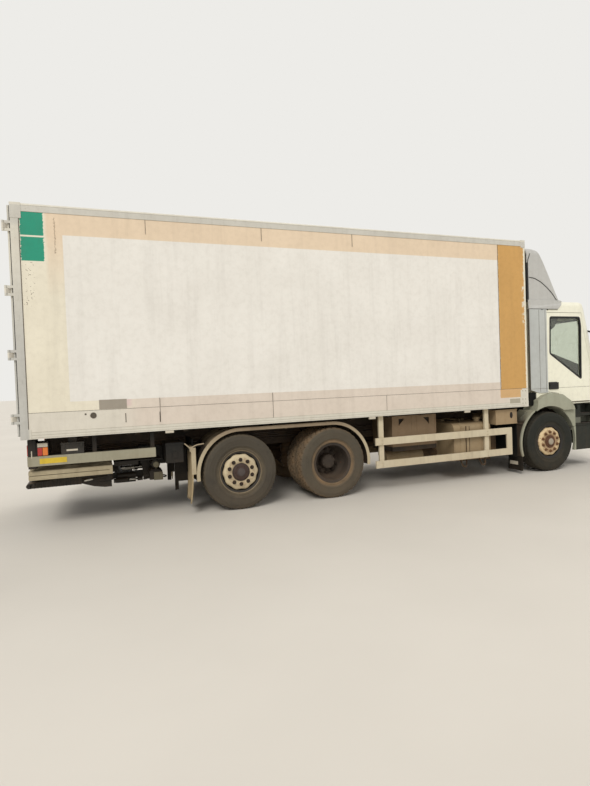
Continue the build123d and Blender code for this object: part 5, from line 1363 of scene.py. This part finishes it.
window_outline = [(0.130, 2.070), (0.150, 2.715), (0.845, 2.715), (0.872, 2.560), (0.860, 1.600)]
handle_cup = [(0.082, 1.432), (0.082, 1.562), (0.262, 1.562), (0.298, 1.525), (0.298, 1.432)]
door_card = [(0.110, 1.300), (0.110, 2.105), (0.30, 2.06), (0.86, 1.875), (1.00, 1.84), (1.00, 1.300)]
hinge_corner_trim = [(0.118, 2.725), (0.43, 2.725), (0.33, 2.55), (0.20, 2.47), (0.118, 2.44)]
for side_name, side in hands:
    body = f"cab_door_{side_name}"
    mesh = bmesh.new()
    curve = softened(window_outline, 0.035)
    band(mesh, grown(curve, -0.016), grown(curve, 0.014), side * 1.1535, side * 1.12, loop=True)
    piece(f"window_seal_{side_name}", mesh, trim_black, body, bevel=0.002)
    mesh = bmesh.new()
    cup = softened(handle_cup, 0.015)
    band(mesh, grown(cup, -0.022), cup, side * 1.1665, side * 1.1495, loop=True)
    plate(mesh, 0.086, 0.294, side * 1.149, side * 1.1735, 1.4395, 1.5545)
    plate(mesh, 0.104, 0.272, side * 1.173, side * 1.179, 1.492, 1.512)
    spun(mesh, (0.122, side * 1.166, 1.455), (0, side, 0), [(0.011, 0.0), (0.011, 0.006), (0.0, 0.006)], 16)
    piece(f"door_handle_{side_name}", mesh, trim_black, body, bevel=0.003)
    mesh = bmesh.new()
    prism(mesh, [(x, side * 1.058, z) for x, z in door_card], [(x, side * 1.082, z) for x, z in door_card])
    plate(mesh, 0.30, 0.80, side * 1.03, side * 1.06, 1.60, 1.64)
    for y in (1.062, 1.070):
        mesh.faces.new([mesh.verts.new((x, side * y, z)) for x, z in hinge_corner_trim])
    piece(f"door_card_{side_name}", mesh, card_trim, body, bevel=0.008)
    # Dark strips along the door's crease lines: painted shade in the creases.
    mesh = bmesh.new()
    plate(mesh, 0.075, 1.068, side * 1.1492, side * 1.1515, 1.4525, 1.4565)
    plate(mesh, 0.578, 1.055, side * 1.1492, side * 1.1530, 1.182, 1.196)
    piece(f"door_crease_shade_{side_name}", mesh, sealant_and_shade_lines, body)
# Panel joints on the fairing in dark sealant. The line at 1.4545 m carries the door crease's painted shade
# across, and the strip at the fairing's rear edge is painted shade of the gap to the box.
mesh = bmesh.new()
pair(mesh, (-0.338, 0.050, 1.1635, 1.1655, 1.4525, 1.4565), (-0.345, -0.335, 1.135, 1.1655, 1.44, 2.85),
     (-0.123, -0.117, 1.1635, 1.1652, 1.40, 2.84), (0.017, 0.023, 1.1635, 1.1652, 1.40, 2.84))
piece("fairing_joints_and_shade", mesh, sealant_and_shade_lines, "cab")
skirt_face_y, skirt_top_y, skirt_turn_z = 1.1635, 1.128, 3.0
skirt = [(-0.340, 2.856), (0.330, 2.856), (0.412, 2.930), (0.412, 2.992), (0.398, 3.015), (-0.330, 3.015)]
mesh = bmesh.new()
for side in (-1, 1):
    prism(mesh, [(x, side * 1.150, z) for x, z in skirt],
          [(x, side * (skirt_face_y if z < skirt_turn_z else skirt_top_y), z) for x, z in skirt])
piece("deflector_skirts", mesh, fairing_shaded_grey, "cab", bevel=0.004)
mesh = bmesh.new()
pipe_pair(mesh, [(-0.285, 1.1265, 3.408), (-0.16, 1.1275, 3.395), (-0.02, 1.1275, 3.335),
                 (0.12, 1.1275, 3.240), (0.24, 1.1275, 3.135), (0.325, 1.1275, 3.03),
                 (0.345, 1.150, 2.998)], 0.0065)
pipe_pair(mesh, [(-0.315, 1.127, 3.62), (-0.305, 1.128, 3.70), (-0.270, 1.128, 3.78),
                 (-0.255, 1.127, 3.82)], 0.006)
pair(mesh, (-0.336, -0.300, 1.085, 1.1295, 2.99, 3.66), (-0.338, 0.325, 1.150, 1.1660, 2.8505, 2.8575))
for x in (-0.06, -0.03, 0.09):
    pair(mesh, (x - 0.006, x + 0.006, 1.152, 1.1655, 2.835, 2.852))
piece("deflector_trims", mesh, trim_black, "cab")


# Glazing, wipers, mirrors and front of the cab.
# Bonded screen in a rubber seal under a pressed header, drop glasses, twin wipers, mirror glasses in
# black shells, a moulded grille, and marker lamps and a hatch on the roof.
glass = finish("cab_glass", (0.925, 0.945, 0.90), rough=0.03, second=(0.92, 0.94, 0.895), dust=0.05,
               streaks=0.02, grain=0.01, clear=0.96)
dress(glass, "windscreen", "door_glass_right", "door_glass_left")
mirror_shell = finish("mirror_shell", (0.11, 0.11, 0.11), rough=0.5, dust=0.2, grain=0.2)
dress(mirror_shell, "mirrors")
mirror_glass = finish("mirror_glass", (0.80, 0.82, 0.82), rough=0.04, metal=1.0, dust=0.05, grain=0.01)
mesh = bmesh.new()
pair(mesh, (1.146, 1.150, 1.222, 1.408, 2.10, 2.455), (1.146, 1.150, 1.222, 1.408, 1.905, 2.075))
piece("mirror_glasses", mesh, mirror_glass, "cab", bevel=0.004)
front_foot_x, front_foot_z = 1.335, 1.75
screen_lean = 0.24 / 1.01
screen_depth = 0.020
brow_front_x, brow_z = 1.095, 2.76
roof_slope = 0.896
corner_radius = 0.23
corner_y = 0.92


def front_x(z):
    """How far forward the leaning front of the cab lies at a height."""
    return front_foot_x - (z - front_foot_z) * screen_lean


def screen_x(z, out=0.0):
    """How far forward the screen's outer face lies at a height."""
    return front_x(z) - screen_depth + out


outline = softened([(-0.985, 1.80), (0.985, 1.80), (0.96, 2.70), (-0.96, 2.70)], 0.06)
inner = [(y * 0.975, 2.25 + (z - 2.25) * 0.955) for y, z in outline]
outer = [(y * 1.012, 2.25 + (z - 2.25) * 1.02) for y, z in outline]
mesh = bmesh.new()
rows = [[mesh.verts.new((screen_x(z, lift), y, z)) for y, z in path]
        for path, lift in ((inner, -0.02), (inner, 0.004), (outer, 0.024), (outer, -0.01))]
for row, beside in zip(rows, rows[1:] + rows[:1]):
    bridge(mesh, row, beside)
piece("screen_seal", mesh, trim_black, "cab")


def brow_x(y, z):
    """How far forward the cab's skin lies above and beside the screen, round at the corners."""
    crown = front_x(z) if z <= brow_z else brow_front_x - (z - brow_z) * roof_slope
    past = max(0.0, abs(y) - corner_y)
    return min(crown, front_x(z) - 0.205 + math.sqrt(corner_radius ** 2 - past ** 2))


def skin_panel(mesh, y0, y1, z0, z1, across, up):
    """A panel about 20 mm thick on the cab's skin."""
    layers = []
    for out in (0.001, -0.020):
        layers.append([[mesh.verts.new((brow_x(y, z) + out, y, z))
                        for y in (y0 + (y1 - y0) * i / across for i in range(across + 1))]
                       for z in (z0 + (z1 - z0) * j / up for j in range(up + 1))])
    for grid in layers:
        for low, high in zip(grid, grid[1:]):
            bridge(mesh, low, high, False)
    rims = [[grid[0], grid[-1], [row[0] for row in grid], [row[-1] for row in grid]] for grid in layers]
    for outer_rim, inner_rim in zip(*rims):
        bridge(mesh, outer_rim, inner_rim, False)


mesh = bmesh.new()
skin_panel(mesh, -1.098, 1.098, 2.699, 2.894, 122, 13)
piece("screen_header", mesh, cab_enamel, "cab", smooth=True)
mesh = bmesh.new()
for side in (-1, 1):
    skin_panel(mesh, side * 0.978, side * 1.098, 2.42, 2.7, 8, 14)
piece("screen_pillars", mesh, cab_enamel, "cab", smooth=True)
mesh = bmesh.new()
for pivot, tip in ((-0.55, 0.18), (0.12, 0.85)):
    pipe(mesh, [(screen_x(1.78, 0.035), pivot, 1.775), (screen_x(1.84, 0.045), pivot + 0.2, 1.85),
                (screen_x(1.86, 0.035), tip - 0.2, 1.87)], 0.007)
    pipe(mesh, [(screen_x(1.86, 0.022), tip - 0.55, 1.845),
                (screen_x(1.88, 0.022), tip + 0.05, 1.885)], 0.009)
    spun(mesh, (screen_x(1.78), pivot, 1.772), (1, 0, 0.2),
         [(0.020, 0.0), (0.020, 0.03), (0.014, 0.045), (0.0, 0.046)], 14)
piece("wipers", mesh, trim_black, "cab", smooth=True)
mesh = bmesh.new()
grille_pitch = 0.0395
for step in range(41):
    y = -0.79 + step * grille_pitch
    plate(mesh, 1.318, 1.322, y - 0.003, y + 0.003, 1.20, 1.43)
plate(mesh, 1.300, 1.306, -0.80, 0.80, 1.20, 1.43)
piece("grille_mesh", mesh, trim_black, "cab")
mesh = bmesh.new()
for y in (-0.85, -0.28, 0.28, 0.85):
    plate(mesh, 0.80, 0.90, y - 0.06, y + 0.06, 2.985, 3.025)
piece("cab_marker_lamps", mesh, amber, "cab", bevel=0.012)
mesh = bmesh.new()
plate(mesh, 0.42, 0.78, -0.30, 0.30, 2.996, 3.03)
piece("roof_hatch", mesh, cab_enamel, "cab", bevel=0.012)


# Steps and bumper fittings.
# Ribbed rubber treads laid in the step recesses, round fog lamps in the bumper's pockets, and a
# blank plate screwed to its middle.
rib_step = 0.016
mesh = bmesh.new()
for z, depth in ((0.790, 1.10), (0.970, 1.07)):
    for step in range(7):
        y = depth + step * rib_step
        pair(mesh, (0.785, 1.075, y, y + 0.007, z - 0.001, z + 0.007))
piece("step_treads", mesh, trim_black, "chassis", bevel=0.0015)
mesh = bmesh.new()
spun_pair(mesh, (1.375, 0.56, 0.49), (1, 0, 0),
          [(0.0, 0.012), (0.035, 0.018), (0.050, 0.014), (0.056, 0.017), (0.060, 0.010), (0.060, -0.02)], 24)
piece("fog_lamps", mesh, pale_lens, "chassis", smooth=True)
mesh = bmesh.new()
plate(mesh, 1.388, 1.394, -0.26, 0.26, 0.60, 0.71)
piece("blank_front_plate", mesh, pale_lens, "chassis", bevel=0.002)


# Cab interior.
# Textured dash with an instrument hood, a four-spoke wheel, and two sprung seats in grey fabric on
# black bases.
trim = finish("cab_trim", (0.27, 0.27, 0.28), rough=0.7, dust=0.1, streaks=0.0, grain=0.3, grain_size=160.0)
dress(trim, "cab_floor")
dash = [(0.865, 1.70), (0.885, 1.735), (1.06, 1.765), (1.094, 1.76), (1.094, 1.40), (0.985, 1.40),
        (0.90, 1.56)]
mesh = bmesh.new()
prism(mesh, [(x, -1.0, z) for x, z in dash], [(x, 1.0, z) for x, z in dash])
plate(mesh, 0.995, 1.094, -1.0, 1.0, 1.292, 1.401)
plate(mesh, 0.875, 0.99, 0.34, 0.80, 1.70, 1.80)
for y in (-0.75, -0.25, 0.10, 0.92):
    plate(mesh, 0.862, 0.90, y - 0.07, y + 0.07, 1.62, 1.68)
made = piece("dashboard", mesh, trim, "cab", bevel=0.012)
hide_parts("cab_interior")
wheel_radius = 0.215
foot, head = Vector((0.985, 0.56, 1.65)), Vector((0.785, 0.56, 1.88))
lean = (head - foot).normalized()
flat = lean.orthogonal().normalized()
other = lean.cross(flat)
mesh = bmesh.new()
pipe(mesh, [foot, head], 0.030, 14)
hoop = [head + wheel_radius * (math.cos(a) * flat + math.sin(a) * other)
        for a in (2 * math.pi * step / 40 for step in range(41))]
pipe(mesh, hoop, 0.015, 10)
for turn in (20, 160, 200, 340):
    way = math.cos(math.radians(turn)) * other + math.sin(math.radians(turn)) * flat
    pipe(mesh, [head + 0.03 * way, head + (wheel_radius - 0.010) * way], 0.011)
spun(mesh, head - 0.012 * lean, lean,
     [(0.0, -0.006), (0.06, 0.0), (0.066, 0.014), (0.05, 0.026), (0.0, 0.03)], 20)
piece("steering_wheel", mesh, trim_black, "cab", smooth=True)


def seat_fabric():
    """Dark grey woven cloth with a fine check and a soft sheen."""
    made = finish("seat_cloth", (0.25, 0.27, 0.31), rough=0.9, second=(0.30, 0.31, 0.34), dust=0.08,
                  streaks=0.0, grain=0.3, grain_size=400.0)
    tree, shader, shown, place = opened(made)
    weave = wire(tree, "ShaderNodeTexChecker", {"Vector": place, "Scale": 220.0})
    tone = over(tree, both(tree, weave.outputs["Fac"], 0.18), shown, srgb(0.42, 0.43, 0.46))
    tree.links.new(tone, shader.inputs["Base Color"])
    shader.inputs["Sheen Weight"].default_value = 0.3
    return made


cloth = seat_fabric()
channel_place, channel_depth, channel_wide = 0.42, 0.010, 0.05


def cushion(name, centre, size, lean, crown):
    """A stuffed seat part: a rounded block that swells between its edges, with two sewn channels."""
    mesh = bmesh.new()
    bmesh.ops.create_cube(mesh, size=2.0)
    bmesh.ops.subdivide_edges(mesh, edges=mesh.edges, cuts=11, use_grid_fill=True)
    turn = Matrix.Rotation(lean, 4, "Y")
    for vert in mesh.verts:
        u, v, w = vert.co
        swell = (1 - u ** 4) * (1 - v ** 4)
        pull = 1 - 0.05 * abs(u * v) ** 3
        groove = channel_depth * math.exp(-((abs(v) - channel_place) / channel_wide) ** 2)
        x = size[0] * math.copysign(abs(u) ** 0.92, u) * pull
        y = size[1] * math.copysign(abs(v) ** 0.92, v) * pull
        z = size[2] * w * (0.80 + 0.20 * swell) + (crown * swell - groove) * max(0.0, w)
        vert.co = turn @ Vector((x, y, z)) + Vector(centre)
    made = piece(name, mesh, cloth, "cab", smooth=True)


for side_name, side in hands:
    y = side * 0.68
    cushion(f"seat_cushion_{side_name}", (0.34, y, 1.73), (0.235, 0.245, 0.055), -0.06, 0.018)
    cushion(f"seat_back_{side_name}", (0.045, y, 2.06), (0.31, 0.235, 0.05), -1.44, 0.016)
    cushion(f"seat_headrest_{side_name}", (-0.035, y, 2.47), (0.085, 0.13, 0.042), -1.44, 0.012)
    mesh = bmesh.new()
    plate(mesh, 0.20, 0.52, y - 0.18, y + 0.18, 1.292, 1.66)
    plate(mesh, 0.12, 0.57, y - 0.22, y + 0.22, 1.655, 1.69)
    for post_y in (y - 0.06, y + 0.06):
        pipe(mesh, [(-0.010, post_y, 2.34), (-0.030, post_y, 2.46)], 0.006)
    piece(f"seat_base_{side_name}", mesh, trim_black, "cab", bevel=0.006)


# Running gear details.
# Forged clamps round the springs, dampers, pressed steel brake chambers and rubber hoses, bolted to
# the axles.
brake_chamber = [(0.0, 0.0), (0.070, 0.0), (0.082, 0.012), (0.082, 0.06), (0.088, 0.062), (0.088, 0.075),
                 (0.078, 0.08), (0.074, 0.16), (0.05, 0.178), (0.0, 0.18)]
mesh = bmesh.new()
for x in (-0.055, 0.055):
    for y in (0.352, 0.418):
        pipe_pair(mesh, [(x, y, 0.43), (x, y, 0.675)], 0.009)
pair(mesh, (-0.085, 0.085, 0.335, 0.435, 0.645, 0.668))
spun_pair(mesh, (0.16, 0.50, 0.55), (0.22, 0, 0.4),
          [(0.0, -0.02), (0.028, -0.02), (0.028, 0.20), (0.018, 0.205), (0.018, 0.34), (0.0, 0.34)], 16)
for axle in (tag_x, drive_x):
    for x in (axle - 0.06, axle + 0.06):
        pipe_pair(mesh, [(x, 0.39, 0.40), (x, 0.39, 0.66)], 0.011)
    pair(mesh, (axle - 0.09, axle + 0.09, 0.345, 0.435, 0.585, 0.61),
         (axle - 0.13, axle + 0.02, 0.60, 0.64, 0.52, 0.66))
    spun_pair(mesh, (axle + 0.17, 0.50, 0.48), (0.30, 0, 0.40),
              [(0.0, -0.02), (0.032, -0.02), (0.032, 0.22), (0.020, 0.225), (0.020, 0.40), (0.0, 0.40)], 16)
    spun_pair(mesh, (axle - 0.12, 0.66, 0.60), (-1, 0, 0.1), brake_chamber, 24)
    pipe_pair(mesh, [(axle - 0.28, 0.66, 0.66), (axle - 0.28, 0.60, 0.78), (axle - 0.20, 0.46, 0.86)], 0.010)
piece("axle_fittings", mesh, running_gear, "chassis", bevel=0.001)
